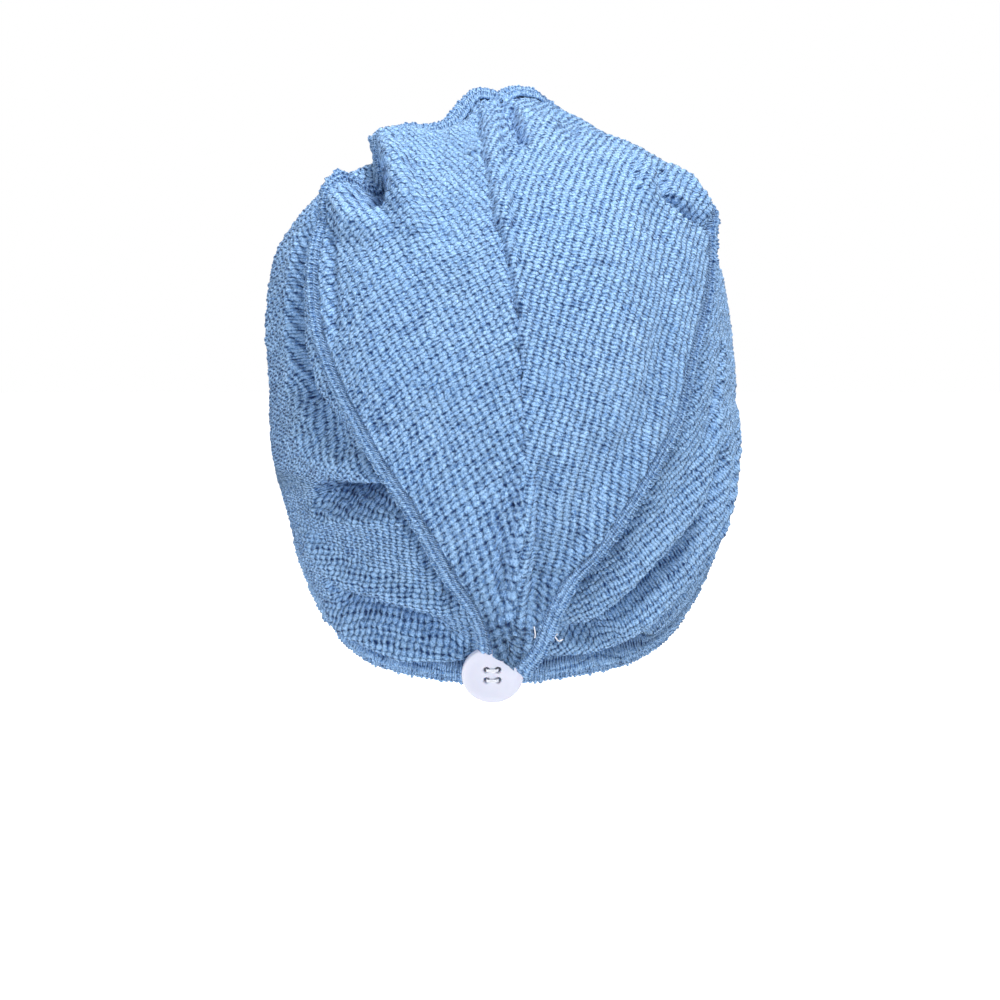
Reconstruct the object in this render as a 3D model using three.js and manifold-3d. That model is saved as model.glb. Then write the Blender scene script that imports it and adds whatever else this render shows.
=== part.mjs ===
import * as THREE from 'three';
import { mergeVertices } from 'three/addons/utils/BufferGeometryUtils.js';
import Module from 'manifold-3d';

// A hair turban towel, fastened as it is worn. Two mirrored panels of looped microfibre towelling make
// the hood. Its long front end is twisted at the brow, laid back over the crown as an open tail and
// hooked on a button at the nape. Millimetres, +Z up, the wearer faces +Y and +X is the wearer's right.
// The origin is the point inside the hood that rests on the crown of the head.

// Hood
const hoodHalfWidth = 90;
const hoodBackDepth = 103;
const hoodFrontDepth = 100;
const crownHeight = 85; // crown contact above the widest level
const napeDrop = 192; // nape edge below the crown contact
const browDrop = 74; // brow edge below the crown contact
const clothWall = 2.5;
const cornerFullness = 2.3; // exponent of the level sections, where 2 is an ellipse
const sewnGap = 0.3; // clearance between pieces that are sewn or laid face to face
const foldReach = 20; // unit of the folds' half-widths
const foldDepth = 10; // unit of the folds' depths

// Folded edge of the opening
const brimHeight = 8;
const brimThickness = 4.2;

// Tail
const tailStandOff = 26; // unit of the tail's lofts over the hood
const tailTipFromEdge = 18.4; // end of the tail's tip above the nape edge
const tailHemWidth = 5.4;
const tailHemThickness = 3.8;
const tailEdgeRoundness = 2.2; // how squarely the tail's cross-section turns down at its edges
const tailTipSlant = 3; // degrees that the tip's end is cut aslant
const tailSlantReach = 12; // degrees along the tail over which the slant fades out
const hemThinning = 0.6; // share of a rolled hem's thickness that is lost at its edges
const crestHemClearance = 0.8; // over the tail's folds
const seamDip = 0.9;
const seamReach = 5;

// Twist over the brow
const twistHalfWidth = 28;
const twistThickness = 20;
const twistLobes = 3;
const twistLobeDepth = 0.1; // share of the thickness
const twistTurn = 250; // degrees that the lobes wind from the crest to the brow
const twistClearance = 0.5; // over the hood's folds

// Button, its thread shank and the elastic loop
const buttonRadius = 11.2;
const buttonThickness = 3.6;
const buttonRimWidth = 2.2;
const buttonDish = 0.9;
const buttonBevel = 0.8;
const buttonHoleRadius = 1.05;
const buttonHolePitch = 4.2;
const buttonFromEdge = 6.5; // button centre above the nape edge
const buttonTurn = -2.2; // degrees that it sits off the nape's middle
const buttonStandOff = 3.6; // back of the button above the hood
const shankRadius = 1.9;
const loopRadius = 1;
const loopHalfWidth = 4.2;
const loopLength = 24;
const loopRise = 4.2; // ends of the loop above its middle, into the tail's tip

const hoodCentre = new THREE.Vector3(0, 0, -crownHeight);
const hoodTop = crownHeight + clothWall;
const hoodBelow = napeDrop - crownHeight;

// Outline of the hood in the side and lengthwise planes, as its distance from the hood's centre over
// that of a plain ellipse. down is the angle from straight up, in degrees.
const hoodSections = [
  { down: 0, left: 1, right: 1, back: 1, front: 1 },
  { down: 15, left: 1.03, right: 1.025, back: 1.01, front: 1.01 },
  { down: 30, left: 1.1, right: 1.08, back: 1.03, front: 1.02 },
  { down: 45, left: 1.135, right: 1.125, back: 1.04, front: 1.025 },
  { down: 60, left: 1.11, right: 1.07, back: 1.03, front: 1.02 },
  { down: 75, left: 1.035, right: 1.01, back: 1, front: 1.015 },
  { down: 90, left: 0.99, right: 1, back: 1, front: 1 },
  { down: 105, left: 1.005, right: 1.03, back: 1.02, front: 0.98 },
  { down: 120, left: 1.02, right: 1.065, back: 1.075, front: 0.955 },
  { down: 135, left: 1.08, right: 1.11, back: 1.165, front: 0.95 },
  { down: 150, left: 1.14, right: 1.16, back: 1.29, front: 0.95 },
];

// Edge of the opening from the nape round to the brow. turn is the angle from the nape, and drop is
// the share of the way down from the brow's level to the nape's.
const openingEdge = [
  { turn: 0, drop: 1 },
  { turn: 30, drop: 0.97 },
  { turn: 45, drop: 0.93 },
  { turn: 60, drop: 0.855 },
  { turn: 75, drop: 0.75 },
  { turn: 90, drop: 0.62 },
  { turn: 120, drop: 0.35 },
  { turn: 150, drop: 0.11 },
  { turn: 180, drop: 0 },
];

// Folds of the hood. Each path runs through points of turn from the nape, in degrees, and drop, a
// share of napeDrop. reach and depth are shares of foldReach and foldDepth, and a hollow has depth
// below zero.
const hoodFoldsLeft = [
  { path: [[-60, 0.08], [-68, 0.17], [-68, 0.3], [-70, 0.4]], reach: 0.6, depth: 0.2 },
  { path: [[-54, 0.19], [-50, 0.27], [-46, 0.36], [-40, 0.42]], reach: 0.5, depth: -0.85 },
  { path: [[-54, 0.1], [-52, 0.13]], reach: 0.4, depth: -0.45 },
  { path: [[-56, 0.4], [-45, 0.46], [-34, 0.53]], reach: 0.6, depth: -0.5 },
  { path: [[-52, 0.5], [-40, 0.56], [-30, 0.58]], reach: 0.5, depth: 0.4 },
  { path: [[-48, 0.63], [-36, 0.63], [-24, 0.63]], reach: 0.5, depth: -1 },
  { path: [[-62, 0.66], [-50, 0.74], [-36, 0.8]], reach: 0.6, depth: 0.3 },
  { path: [[-40, 0.8], [-24, 0.82], [-14, 0.84]], reach: 0.45, depth: 0.3 },
  { path: [[-44, 0.84], [-30, 0.875], [-14, 0.91]], reach: 0.4, depth: -0.6 },
];
const hoodFoldsRight = [
  { path: [[47, 0.36], [42, 0.44], [36, 0.53]], reach: 0.5, depth: -0.6 },
  { path: [[60, 0.4], [44, 0.64], [26, 0.82]], reach: 0.6, depth: 0.25 },
  { path: [[58, 0.58], [40, 0.77], [24, 0.88]], reach: 0.5, depth: -0.35 },
  { path: [[66, 0.56], [54, 0.73], [38, 0.87]], reach: 0.6, depth: 0.3 },
];
// Gathers that run from the twist at the brow round to the temples, the same on both sides
const browGathers = [
  { path: [[160, 0.3], [128, 0.33], [100, 0.4]], reach: 0.5, depth: 0.35 },
  { path: [[156, 0.2], [126, 0.2], [100, 0.22]], reach: 0.5, depth: 0.35 },
  { path: [[146, 0.25], [120, 0.27]], reach: 0.35, depth: -0.3 },
  { path: [[140, 0.12], [112, 0.11]], reach: 0.4, depth: -0.3 },
];

// Tail from its tip at the nape to its end on the twist. rise is the angle round the head's side axis,
// from level behind to level in front. Its first row falls at tailTipFromEdge, and the rows below level
// follow. left, seam and right are angles to the side, all in degrees.
// The lofts are shares of tailStandOff.
const tailRows = [
  { rise: -46, left: -4, seam: 0.6, right: 4.6, leftLoft: 0.36, seamLoft: 0.36, rightLoft: 0.36 },
  { rise: -42, left: -4.6, seam: 1.6, right: 7.3, leftLoft: 0.34, seamLoft: 0.34, rightLoft: 0.31 },
  { rise: -36, left: -8, seam: 2.6, right: 11.5, leftLoft: 0.27, seamLoft: 0.25, rightLoft: 0.2 },
  { rise: -29, left: -12.7, seam: 3.5, right: 19.8, leftLoft: 0.25, seamLoft: 0.14, rightLoft: 0.17 },
  { rise: -22, left: -17.3, seam: 4.2, right: 26.2, leftLoft: 0.27, seamLoft: 0.1, rightLoft: 0.14 },
  { rise: -14, left: -23.6, seam: 4.6, right: 33, leftLoft: 0.27, seamLoft: 0.08, rightLoft: 0.12 },
  { rise: -6, left: -29.4, seam: 4, right: 38.4, leftLoft: 0.2, seamLoft: 0.08, rightLoft: 0.12 },
  { rise: 3, left: -34.8, seam: 3.9, right: 41.2, leftLoft: 0.18, seamLoft: 0.08, rightLoft: 0.12 },
  { rise: 12, left: -38, seam: 3.2, right: 44, leftLoft: 0.2, seamLoft: 0.08, rightLoft: 0.12 },
  { rise: 22, left: -39.7, seam: 1.9, right: 47.6, leftLoft: 0.2, seamLoft: 0.08, rightLoft: 0.1 },
  { rise: 34, left: -39.2, seam: -0.7, right: 49.6, leftLoft: 0.18, seamLoft: 0.1, rightLoft: 0.08 },
  { rise: 44, left: -36, seam: -2.4, right: 49.4, leftLoft: 0.15, seamLoft: 0.14, rightLoft: 0.1 },
  { rise: 54, left: -31, seam: -3.6, right: 48.8, leftLoft: 0.2, seamLoft: 0.18, rightLoft: 0.15 },
  { rise: 64, left: -28.5, seam: -4.2, right: 48.5, leftLoft: 0.26, seamLoft: 0.24, rightLoft: 0.17 },
  { rise: 74, left: -27.6, seam: -4.6, right: 46, leftLoft: 0.28, seamLoft: 0.32, rightLoft: 0.12 },
  { rise: 84, left: -28, seam: -4.8, right: 41, leftLoft: 0.28, seamLoft: 0.4, rightLoft: 0.08 },
  { rise: 92, left: -28, seam: -4.5, right: 36, leftLoft: 0.26, seamLoft: 0.52, rightLoft: 0.08 },
  { rise: 100, left: -27, seam: -3, right: 31, leftLoft: 0.2, seamLoft: 0.66, rightLoft: 0.1 },
  { rise: 108, left: -25, seam: -1, right: 27, leftLoft: 0.16, seamLoft: 0.74, rightLoft: 0.14 },
  { rise: 116, left: -23, seam: 1, right: 25, leftLoft: 0.15, seamLoft: 0.76, rightLoft: 0.16 },
  { rise: 124, left: -21, seam: 3, right: 23, leftLoft: 0.15, seamLoft: 0.76, rightLoft: 0.16 },
];

// Folds of the tail, with paths through points of rise and side angle
const tailFolds = [
  { path: [[94, 1], [84, 2], [66, 6]], reach: 0.75, depth: 0.5 },
  { path: [[110, 6], [101, 0]], reach: 0.8, depth: 0.5 },
  { path: [[88, -21], [70, -20], [46, -19]], reach: 0.7, depth: 0.3 },
  { path: [[62, -26], [54, -27]], reach: 0.5, depth: -0.4 },
  { path: [[88, -12], [76, -10], [48, -10]], reach: 0.5, depth: -0.2 },
  { path: [[93, -17], [106, -13]], reach: 0.8, depth: -0.35 },
  { path: [[-16, 4.5], [-28, 3.8], [-40, 2]], reach: 0.4, depth: 0.15 },
  { path: [[-12, 19], [-26, 13], [-38, 6]], reach: 0.5, depth: -0.1 },
];

// Hem that winds over the crest and down the twist, through points of rise and side angle
const crestHemPath = [[88, -24], [94, -13], [101, -2], [109, 8], [117, 16], [123, 19]];

// Twisted roll from under the tail's front end to the brow edge. width and height are shares of
// twistHalfWidth and twistThickness.
const twistRows = [
  { rise: 112, side: 1, width: 0.6, height: 0.54 },
  { rise: 120, side: 1, width: 0.7, height: 0.66 },
  { rise: 129, side: 1, width: 0.9, height: 0.86 },
  { rise: 139, side: 0.5, width: 0.95, height: 0.82 },
  { rise: 148, side: 0, width: 0.85, height: 0.66 },
  { rise: 158, side: 0, width: 0.66, height: 0.46 },
  { rise: 165, side: 0, width: 0.45, height: 0.25 },
];

const towelBlue = new THREE.MeshStandardMaterial({ color: 0x84add9, roughness: 0.95, metalness: 0 });
const hemBlue = new THREE.MeshStandardMaterial({ color: 0x93b9e2, roughness: 0.9, metalness: 0 });
const buttonWhite = new THREE.MeshStandardMaterial({ color: 0xe4e6f0, roughness: 0.3, metalness: 0 });
const threadWhite = new THREE.MeshStandardMaterial({ color: 0xeef1f7, roughness: 0.8, metalness: 0 });

const radians = THREE.MathUtils.degToRad;
const lerp = THREE.MathUtils.lerp;

// Value of a column along a smooth curve through a table's rows, level at both ends
function tableValue(rows, key, column, at) {
  const last = rows.length - 1;
  if (at <= rows[0][key]) return rows[0][column];
  if (at >= rows[last][key]) return rows[last][column];
  let i = 0;
  while (rows[i + 1][key] < at) i += 1;
  const slope = (a, b) => (rows[b][column] - rows[a][column]) / (rows[b][key] - rows[a][key]);
  const span = rows[i + 1][key] - rows[i][key];
  const t = (at - rows[i][key]) / span;
  const startSlope = i > 0 ? slope(i - 1, i + 1) : 0;
  const endSlope = i + 1 < last ? slope(i, i + 2) : 0;
  const ease = t * t * (3 - 2 * t);
  const pull = t * (1 - t) * span;
  return lerp(rows[i][column], rows[i + 1][column], ease) + pull * ((1 - t) * startSlope - t * endSlope);
}

// Root of a rising function between two bounds
function solve(rising, low, high) {
  for (let step = 0; step < 40; step += 1) {
    const middle = (low + high) / 2;
    if (rising(middle) < 0) low = middle;
    else high = middle;
  }
  return (low + high) / 2;
}

function directionByTurn(turn, down) {
  const across = Math.sin(radians(down));
  const x = across * Math.sin(radians(turn));
  const y = -across * Math.cos(radians(turn));
  return new THREE.Vector3(x, y, Math.cos(radians(down)));
}

// Direction by the angle round the side axis. Below level it is scaled with the way down to the tail's tip.
function directionByRise(rise, side) {
  const turned = radians(rise < 0 ? (rise * tailTipRise) / tailRows[0].rise : rise);
  const middle = Math.cos(radians(side));
  const y = -middle * Math.cos(turned);
  return new THREE.Vector3(Math.sin(radians(side)), y, middle * Math.sin(turned));
}

function ellipseRadius(down, across) {
  const up = down < 90 ? hoodTop : hoodBelow;
  return 1 / Math.hypot(Math.sin(radians(down)) / across, Math.cos(radians(down)) / up);
}

// Distance of the smooth hood's outside from its centre
function hoodRadius(direction) {
  const down = THREE.MathUtils.radToDeg(Math.acos(THREE.MathUtils.clamp(direction.z, -1, 1)));
  const level = Math.hypot(direction.x, direction.y);
  if (level < 1e-9) return hoodTop;
  const sideColumn = direction.x > 0 ? 'right' : 'left';
  const lengthColumn = direction.y > 0 ? 'front' : 'back';
  const depth = direction.y > 0 ? hoodFrontDepth : hoodBackDepth;
  const sideRadius = tableValue(hoodSections, 'down', sideColumn, down) * ellipseRadius(down, hoodHalfWidth);
  const lengthRadius = tableValue(hoodSections, 'down', lengthColumn, down) * ellipseRadius(down, depth);
  const sideShare = (Math.abs(direction.x) / level / sideRadius) ** cornerFullness;
  const lengthShare = (Math.abs(direction.y) / level / lengthRadius) ** cornerFullness;
  return (sideShare + lengthShare) ** (-1 / cornerFullness);
}

function onHood(direction, lift = 0) {
  return direction.clone().multiplyScalar(hoodRadius(direction) + lift).add(hoodCentre);
}

// Angle from straight up at which the smooth hood reaches a drop below the crown contact
function downAtDrop(turn, drop) {
  const below = (down) => -drop - onHood(directionByTurn(turn, down)).z;
  return solve(below, 1, 170);
}

// Angle below level, as a rise below zero, at which the tail's tip ends
const tailTipRise = 90 - downAtDrop(0, napeDrop - tailTipFromEdge);

function edgeDrop(turn) {
  return lerp(browDrop, napeDrop, tableValue(openingEdge, 'turn', 'drop', Math.abs(turn)));
}

// Folds as polylines on the smooth hood, each raising or sinking a bell-shaped strip
function placeFolds(rows, pointOf) {
  return rows.map((row) => ({
    points: row.path.map(([first, second]) => pointOf(first, second)),
    reach: row.reach * foldReach,
    depth: row.depth * foldDepth,
  }));
}

function foldLift(folds, point) {
  const nearest = new THREE.Vector3();
  const stretch = new THREE.Line3();
  let lift = 0;
  for (const fold of folds) {
    let distance = Infinity;
    for (let i = 1; i < fold.points.length; i += 1) {
      stretch.set(fold.points[i - 1], fold.points[i]);
      stretch.closestPointToPoint(point, true, nearest);
      distance = Math.min(distance, nearest.distanceTo(point));
    }
    if (distance < fold.reach) lift += fold.depth * (1 - (distance / fold.reach) ** 2) ** 2;
  }
  return lift;
}

const onHoodByDrop = (turn, drop) => onHood(directionByTurn(turn, downAtDrop(turn, drop * napeDrop)));
const onHoodByRise = (rise, side) => onHood(directionByRise(rise, side));
const mirrored = (rows) => rows.map((row) => ({ ...row, path: row.path.map(([turn, drop]) => [-turn, drop]) }));
const hoodFolds = {
  left: placeFolds([...hoodFoldsLeft, ...mirrored(browGathers)], onHoodByDrop),
  right: placeFolds([...hoodFoldsRight, ...browGathers], onHoodByDrop),
};
const tailFoldsPlaced = placeFolds(tailFolds, onHoodByRise);

// Closed solid between an outer and an inner face over the same grid of rows and columns
function shellGeometry(rowValues, columnValues, outerAt, innerAt) {
  const across = columnValues.length;
  const count = rowValues.length * across;
  const positions = [];
  for (const faceAt of [outerAt, innerAt]) {
    for (const row of rowValues) {
      for (const column of columnValues) positions.push(...faceAt(row, column).toArray());
    }
  }
  const index = [];
  const quad = (a, b, c, d) => index.push(a, b, c, a, c, d);
  const at = (row, column) => row * across + column;
  const lastRow = rowValues.length - 1;
  const lastColumn = across - 1;
  for (let row = 0; row < lastRow; row += 1) {
    for (let column = 0; column < lastColumn; column += 1) {
      const a = at(row, column);
      const b = at(row, column + 1);
      const c = at(row + 1, column + 1);
      const d = at(row + 1, column);
      quad(a, b, c, d);
      quad(count + a, count + d, count + c, count + b);
    }
    const left = [at(row, 0), at(row + 1, 0)];
    const right = [at(row, lastColumn), at(row + 1, lastColumn)];
    quad(left[0], left[1], count + left[1], count + left[0]);
    quad(right[1], right[0], count + right[0], count + right[1]);
  }
  for (let column = 0; column < lastColumn; column += 1) {
    const first = [at(0, column), at(0, column + 1)];
    const final = [at(lastRow, column), at(lastRow, column + 1)];
    quad(first[1], first[0], count + first[0], count + first[1]);
    quad(final[0], final[1], count + final[1], count + final[0]);
  }
  return closedGeometry(positions, index);
}

// Joins shared points, drops triangles that have closed up, and turns the faces outward
function closedGeometry(positions, index) {
  const raw = new THREE.BufferGeometry();
  raw.setAttribute('position', new THREE.Float32BufferAttribute(positions, 3));
  raw.setIndex(index);
  const merged = mergeVertices(raw, 1e-3);
  const points = merged.getAttribute('position');
  const corner = [new THREE.Vector3(), new THREE.Vector3(), new THREE.Vector3()];
  const kept = [];
  let volume = 0;
  for (let i = 0; i < merged.index.count; i += 3) {
    const face = [0, 1, 2].map((offset) => merged.index.getX(i + offset));
    if (new Set(face).size < 3) continue;
    face.forEach((vertex, k) => corner[k].fromBufferAttribute(points, vertex));
    volume += corner[0].dot(corner[1].cross(corner[2]));
    kept.push(...face);
  }
  if (volume < 0) kept.reverse();
  merged.setIndex(kept);
  merged.computeVertexNormals();
  return merged;
}

// Values from a first to a last one, in even steps or in stretches of different step
function evenSteps(first, last, steps) {
  return Array.from({ length: steps + 1 }, (_, i) => lerp(first, last, i / steps));
}

function stretches(...stops) {
  const values = [stops[0].at];
  for (let i = 1; i < stops.length; i += 1) {
    values.push(...evenSteps(stops[i - 1].at, stops[i].at, stops[i].steps).slice(1));
  }
  return values;
}

const hoodTurns = stretches({ at: 0 }, { at: 20, steps: 2 }, { at: 84, steps: 19 }, { at: 180, steps: 8 });
const hoodShares = stretches({ at: 0 }, { at: 0.26, steps: 3 }, { at: 1, steps: 21 });

// One half of the hood, from the apex down to the folded edge
function hoodHalf(sideName) {
  const sign = sideName === 'left' ? -1 : 1;
  const offset = new THREE.Vector3((sign * sewnGap) / 2, 0, 0);
  const lowest = new Map(hoodTurns.map((turn) => [turn, downAtDrop(sign * turn, edgeDrop(turn) - brimHeight)]));
  const faceAt = (inward) => (share, turn) => {
    const direction = directionByTurn(sign * turn, share * lowest.get(turn));
    const lift = foldLift(hoodFolds[sideName], onHood(direction));
    return onHood(direction, lift - inward).add(offset);
  };
  return shellGeometry(hoodShares, hoodTurns, faceAt(0), faceAt(clothWall));
}

// Thickness of a rolled hem across its width, from 0 at one edge to 1 at the other
function hemThicknessAt(thickness, share) {
  return thickness * (1 - hemThinning * (2 * share - 1) ** 4);
}

// Folded edge of the opening on one side, just below the hood's wall
function brimHalf(sideName) {
  const sign = sideName === 'left' ? -1 : 1;
  const offset = new THREE.Vector3((sign * sewnGap) / 2, 0, 0);
  const faceAt = (half) => (share, turn) => {
    const drop = edgeDrop(turn) - (1 - share) * (brimHeight - sewnGap);
    const direction = directionByTurn(sign * turn, downAtDrop(sign * turn, drop));
    const middle = foldLift(hoodFolds[sideName], onHood(direction)) - clothWall / 2;
    return onHood(direction, middle + half * hemThicknessAt(brimThickness, share)).add(offset);
  };
  return shellGeometry(evenSteps(0, 1, 3), hoodTurns, faceAt(0.5), faceAt(-0.5));
}

// Height of the tail's underside over the smooth hood
function tailLoft(rise, side) {
  const seam = tableValue(tailRows, 'rise', 'seam', rise);
  const edgeName = side < seam ? 'left' : 'right';
  const edge = tableValue(tailRows, 'rise', edgeName, rise);
  const share = Math.min(Math.abs((side - seam) / (edge - seam)), 1);
  const seamLoft = tableValue(tailRows, 'rise', 'seamLoft', rise);
  const edgeLoft = tableValue(tailRows, 'rise', `${edgeName}Loft`, rise);
  const loft = lerp(seamLoft, edgeLoft, share ** tailEdgeRoundness) * tailStandOff;
  return loft + foldLift(tailFoldsPlaced, onHoodByRise(rise, side));
}

const tailTip = tailRows[0];
const tailEnd = tailRows[tailRows.length - 1];
const tailRises = evenSteps(tailTip.rise, tailEnd.rise, 33);

// The tip's end is cut aslant, which fades out along the tail
function slanted(rise, side) {
  const nearTip = Math.max(0, 1 - (rise - tailTip.rise) / tailSlantReach);
  return rise - (tailTipSlant * nearTip * side) / tailTip.right;
}

// Side angle that a width on the tail's surface takes up
function sideAngle(rise, side, width) {
  return THREE.MathUtils.radToDeg(width / hoodRadius(directionByRise(rise, side)));
}

function tailEdgeSide(sideName, rise, inward) {
  const edge = tableValue(tailRows, 'rise', sideName, rise);
  const sign = sideName === 'left' ? 1 : -1;
  return edge + sign * sideAngle(rise, edge, inward);
}

function onTail(rise, side, lift) {
  const slantedRise = slanted(rise, side);
  return onHood(directionByRise(slantedRise, side), tailLoft(rise, side) + lift);
}

// One of the tail's two panels, between its hem and the seam along the middle
function tailPanel(sideName) {
  const sign = sideName === 'left' ? -1 : 1;
  const sideAt = (rise, share) => {
    const seam = tableValue(tailRows, 'rise', 'seam', rise);
    const nearSeam = seam + sign * sideAngle(rise, seam, sewnGap / 2);
    return lerp(nearSeam, tailEdgeSide(sideName, rise, tailHemWidth + sewnGap), share);
  };
  const outerAt = (rise, share) => {
    const side = sideAt(rise, share);
    const fromSeam = radians(Math.abs(side - sideAt(rise, 0))) * hoodRadius(directionByRise(rise, side));
    const dip = seamDip * Math.max(0, 1 - fromSeam / seamReach) ** 2;
    return onTail(rise, side, clothWall - dip);
  };
  const innerAt = (rise, share) => onTail(rise, sideAt(rise, share), 0);
  const columns = stretches({ at: 0 }, { at: 0.12, steps: 1 }, { at: 1, steps: 7 });
  return shellGeometry(tailRises, columns, outerAt, innerAt);
}

// Rolled hem along one edge of the tail
function tailHem(sideName) {
  const faceAt = (half) => (rise, share) => {
    const side = tailEdgeSide(sideName, rise, share * tailHemWidth);
    return onTail(rise, side, clothWall / 2 + half * hemThicknessAt(tailHemThickness, share));
  };
  return shellGeometry(tailRises, evenSteps(0, 1, 3), faceAt(0.5), faceAt(-0.5));
}

// Hem that crosses the crest from the left and winds down the right of the twist
function crestHem() {
  const route = new THREE.CatmullRomCurve3(crestHemPath.map(([rise, side]) => new THREE.Vector3(rise, side, 0)));
  const onRoute = (along, across, lift) => {
    const angle = route.getPoint(along);
    const tangent = route.getTangent(along);
    const turned = THREE.MathUtils.radToDeg(across / hoodTop);
    const rise = angle.x - tangent.y * turned;
    const side = angle.y + tangent.x * turned;
    return onTail(rise, side, clothWall + crestHemClearance + lift);
  };
  const outerAt = (along, share) => {
    const across = (share - 0.5) * tailHemWidth;
    return onRoute(along, across, hemThicknessAt(clothWall, share));
  };
  const innerAt = (along, share) => onRoute(along, (share - 0.5) * tailHemWidth, 0);
  return shellGeometry(evenSteps(0, 1, 18), evenSteps(0, 1, 3), outerAt, innerAt);
}

// Twisted roll over the forehead, flat where it lies on the hood
function frontTwist() {
  const around = 14;
  const rises = evenSteps(twistRows[0].rise, twistRows[twistRows.length - 1].rise, 16);
  const positions = [];
  const sectionPoint = (rise, angle, size) => {
    const progress = (rise - rises[0]) / (rises[rises.length - 1] - rises[0]);
    const wind = radians(twistTurn * progress);
    const lobe = 1 + twistLobeDepth * Math.cos(twistLobes * (angle - wind));
    const halfWidth = twistHalfWidth * tableValue(twistRows, 'rise', 'width', rise);
    const height = twistThickness * tableValue(twistRows, 'rise', 'height', rise);
    const across = size * halfWidth * lobe * Math.cos(angle);
    const lift = height / 2 + ((size * height) / 2) * lobe * Math.sin(angle);
    const middle = tableValue(twistRows, 'rise', 'side', rise);
    const side = middle + sideAngle(rise, middle, across);
    const direction = directionByRise(rise, side);
    const folds = side < 0 ? hoodFolds.left : hoodFolds.right;
    const hoodLift = foldLift(folds, onHood(direction));
    return onHood(direction, Math.max(hoodLift, 0) + Math.max(lift, 0) + twistClearance);
  };
  for (const rise of rises) {
    for (let i = 0; i < around; i += 1) {
      positions.push(...sectionPoint(rise, (2 * Math.PI * i) / around, 1).toArray());
    }
  }
  positions.push(...sectionPoint(rises[0], 0, 0).toArray());
  positions.push(...sectionPoint(rises[rises.length - 1], 0, 0).toArray());
  const index = [];
  const firstCap = rises.length * around;
  const lastRing = (rises.length - 1) * around;
  for (let i = 0; i < around; i += 1) {
    const next = (i + 1) % around;
    for (let ring = 0; ring < lastRing; ring += around) {
      index.push(ring + i, ring + next, ring + around + next);
      index.push(ring + i, ring + around + next, ring + around + i);
    }
    index.push(firstCap, next, i);
    index.push(firstCap + 1, lastRing + i, lastRing + next);
  }
  return closedGeometry(positions, index);
}

// Seat of the button on the nape: a point on the hood and the way that its surface faces there
const buttonDown = downAtDrop(buttonTurn, napeDrop - buttonFromEdge);
const buttonSeat = onHood(directionByTurn(buttonTurn, buttonDown));
const seatStep = 2;
const seatAcross = onHood(directionByTurn(buttonTurn + seatStep, buttonDown)).sub(buttonSeat);
const seatUp = onHood(directionByTurn(buttonTurn, buttonDown - seatStep)).sub(buttonSeat);
const seatFacing = seatAcross.clone().cross(seatUp).normalize();
const seatTurned = new THREE.Quaternion().setFromRotationMatrix(
  new THREE.Matrix4().makeBasis(
    seatAcross.clone().normalize(),
    seatFacing.clone().cross(seatAcross).normalize(),
    seatFacing,
  ),
);

function placedOnSeat(mesh, lift) {
  mesh.quaternion.copy(seatTurned);
  mesh.position.copy(buttonSeat).addScaledVector(seatFacing, lift);
  return mesh;
}

const wasm = await Module();
wasm.setup();

function toManifold(geometry) {
  const bare = geometry.clone();
  bare.deleteAttribute('normal');
  bare.deleteAttribute('uv');
  const merged = mergeVertices(bare, 1e-4);
  const vertProperties = new Float32Array(merged.getAttribute('position').array);
  const triVerts = new Uint32Array(merged.index.array);
  return new wasm.Manifold(new wasm.Mesh({ numProp: 3, vertProperties, triVerts }));
}

function fromManifold(solid) {
  const mesh = solid.getMesh();
  const geometry = new THREE.BufferGeometry();
  geometry.setAttribute('position', new THREE.BufferAttribute(new Float32Array(mesh.vertProperties), 3));
  geometry.setIndex(new THREE.BufferAttribute(new Uint32Array(mesh.triVerts), 1));
  geometry.computeVertexNormals();
  return geometry;
}

// Dished round button with four sewing holes
function buttonGeometry() {
  const inner = buttonRadius - buttonRimWidth;
  const face = buttonThickness - buttonDish;
  const profile = [
    [0, 0],
    [buttonRadius - buttonBevel, 0],
    [buttonRadius, buttonBevel],
    [buttonRadius, buttonThickness - buttonBevel],
    [buttonRadius - buttonBevel, buttonThickness],
    [inner, buttonThickness],
    [inner - buttonBevel, face],
    [0, face],
  ];
  const disc = new THREE.LatheGeometry(profile.map(([x, y]) => new THREE.Vector2(x, y)), 24);
  disc.rotateX(Math.PI / 2);
  let solid = toManifold(disc);
  const drill = new THREE.CylinderGeometry(buttonHoleRadius, buttonHoleRadius, 3 * buttonThickness, 8);
  drill.rotateX(Math.PI / 2);
  for (const x of [-0.5, 0.5]) {
    for (const y of [-0.5, 0.5]) {
      const placed = drill.clone().translate(x * buttonHolePitch, y * buttonHolePitch, 0);
      solid = solid.subtract(toManifold(placed));
    }
  }
  return fromManifold(solid);
}

// Elastic loop from under the tail's tip round the shank, behind the button
function loopGeometry() {
  const turnRadius = shankRadius + sewnGap + loopRadius;
  const route = [];
  const legShares = [0.55, 0.8, 1];
  const loopLift = buttonStandOff / 2;
  const raised = (share) => Math.max(0, share - 0.5) * 2 * loopRise;
  const addLeg = (side, shares) => {
    for (const share of shares) {
      const x = side * lerp(turnRadius, loopHalfWidth, share);
      route.push(new THREE.Vector3(x, share * loopLength, loopLift + raised(share)));
    }
  };
  addLeg(-1, [...legShares].reverse());
  for (const angle of evenSteps(180, 360, 6)) {
    const x = turnRadius * Math.cos(radians(angle));
    const y = turnRadius * Math.sin(radians(angle));
    route.push(new THREE.Vector3(x, y, loopLift));
  }
  addLeg(1, legShares);
  const section = new THREE.Shape();
  section.absarc(0, 0, loopRadius, 0, 2 * Math.PI, false);
  const extrudePath = new THREE.CatmullRomCurve3(route);
  return new THREE.ExtrudeGeometry(section, { steps: 26, curveSegments: 4, extrudePath });
}

const turban = new THREE.Group();

function addPiece(name, geometry, material) {
  const mesh = new THREE.Mesh(geometry, material);
  mesh.name = name;
  turban.add(mesh);
  return mesh;
}

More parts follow.
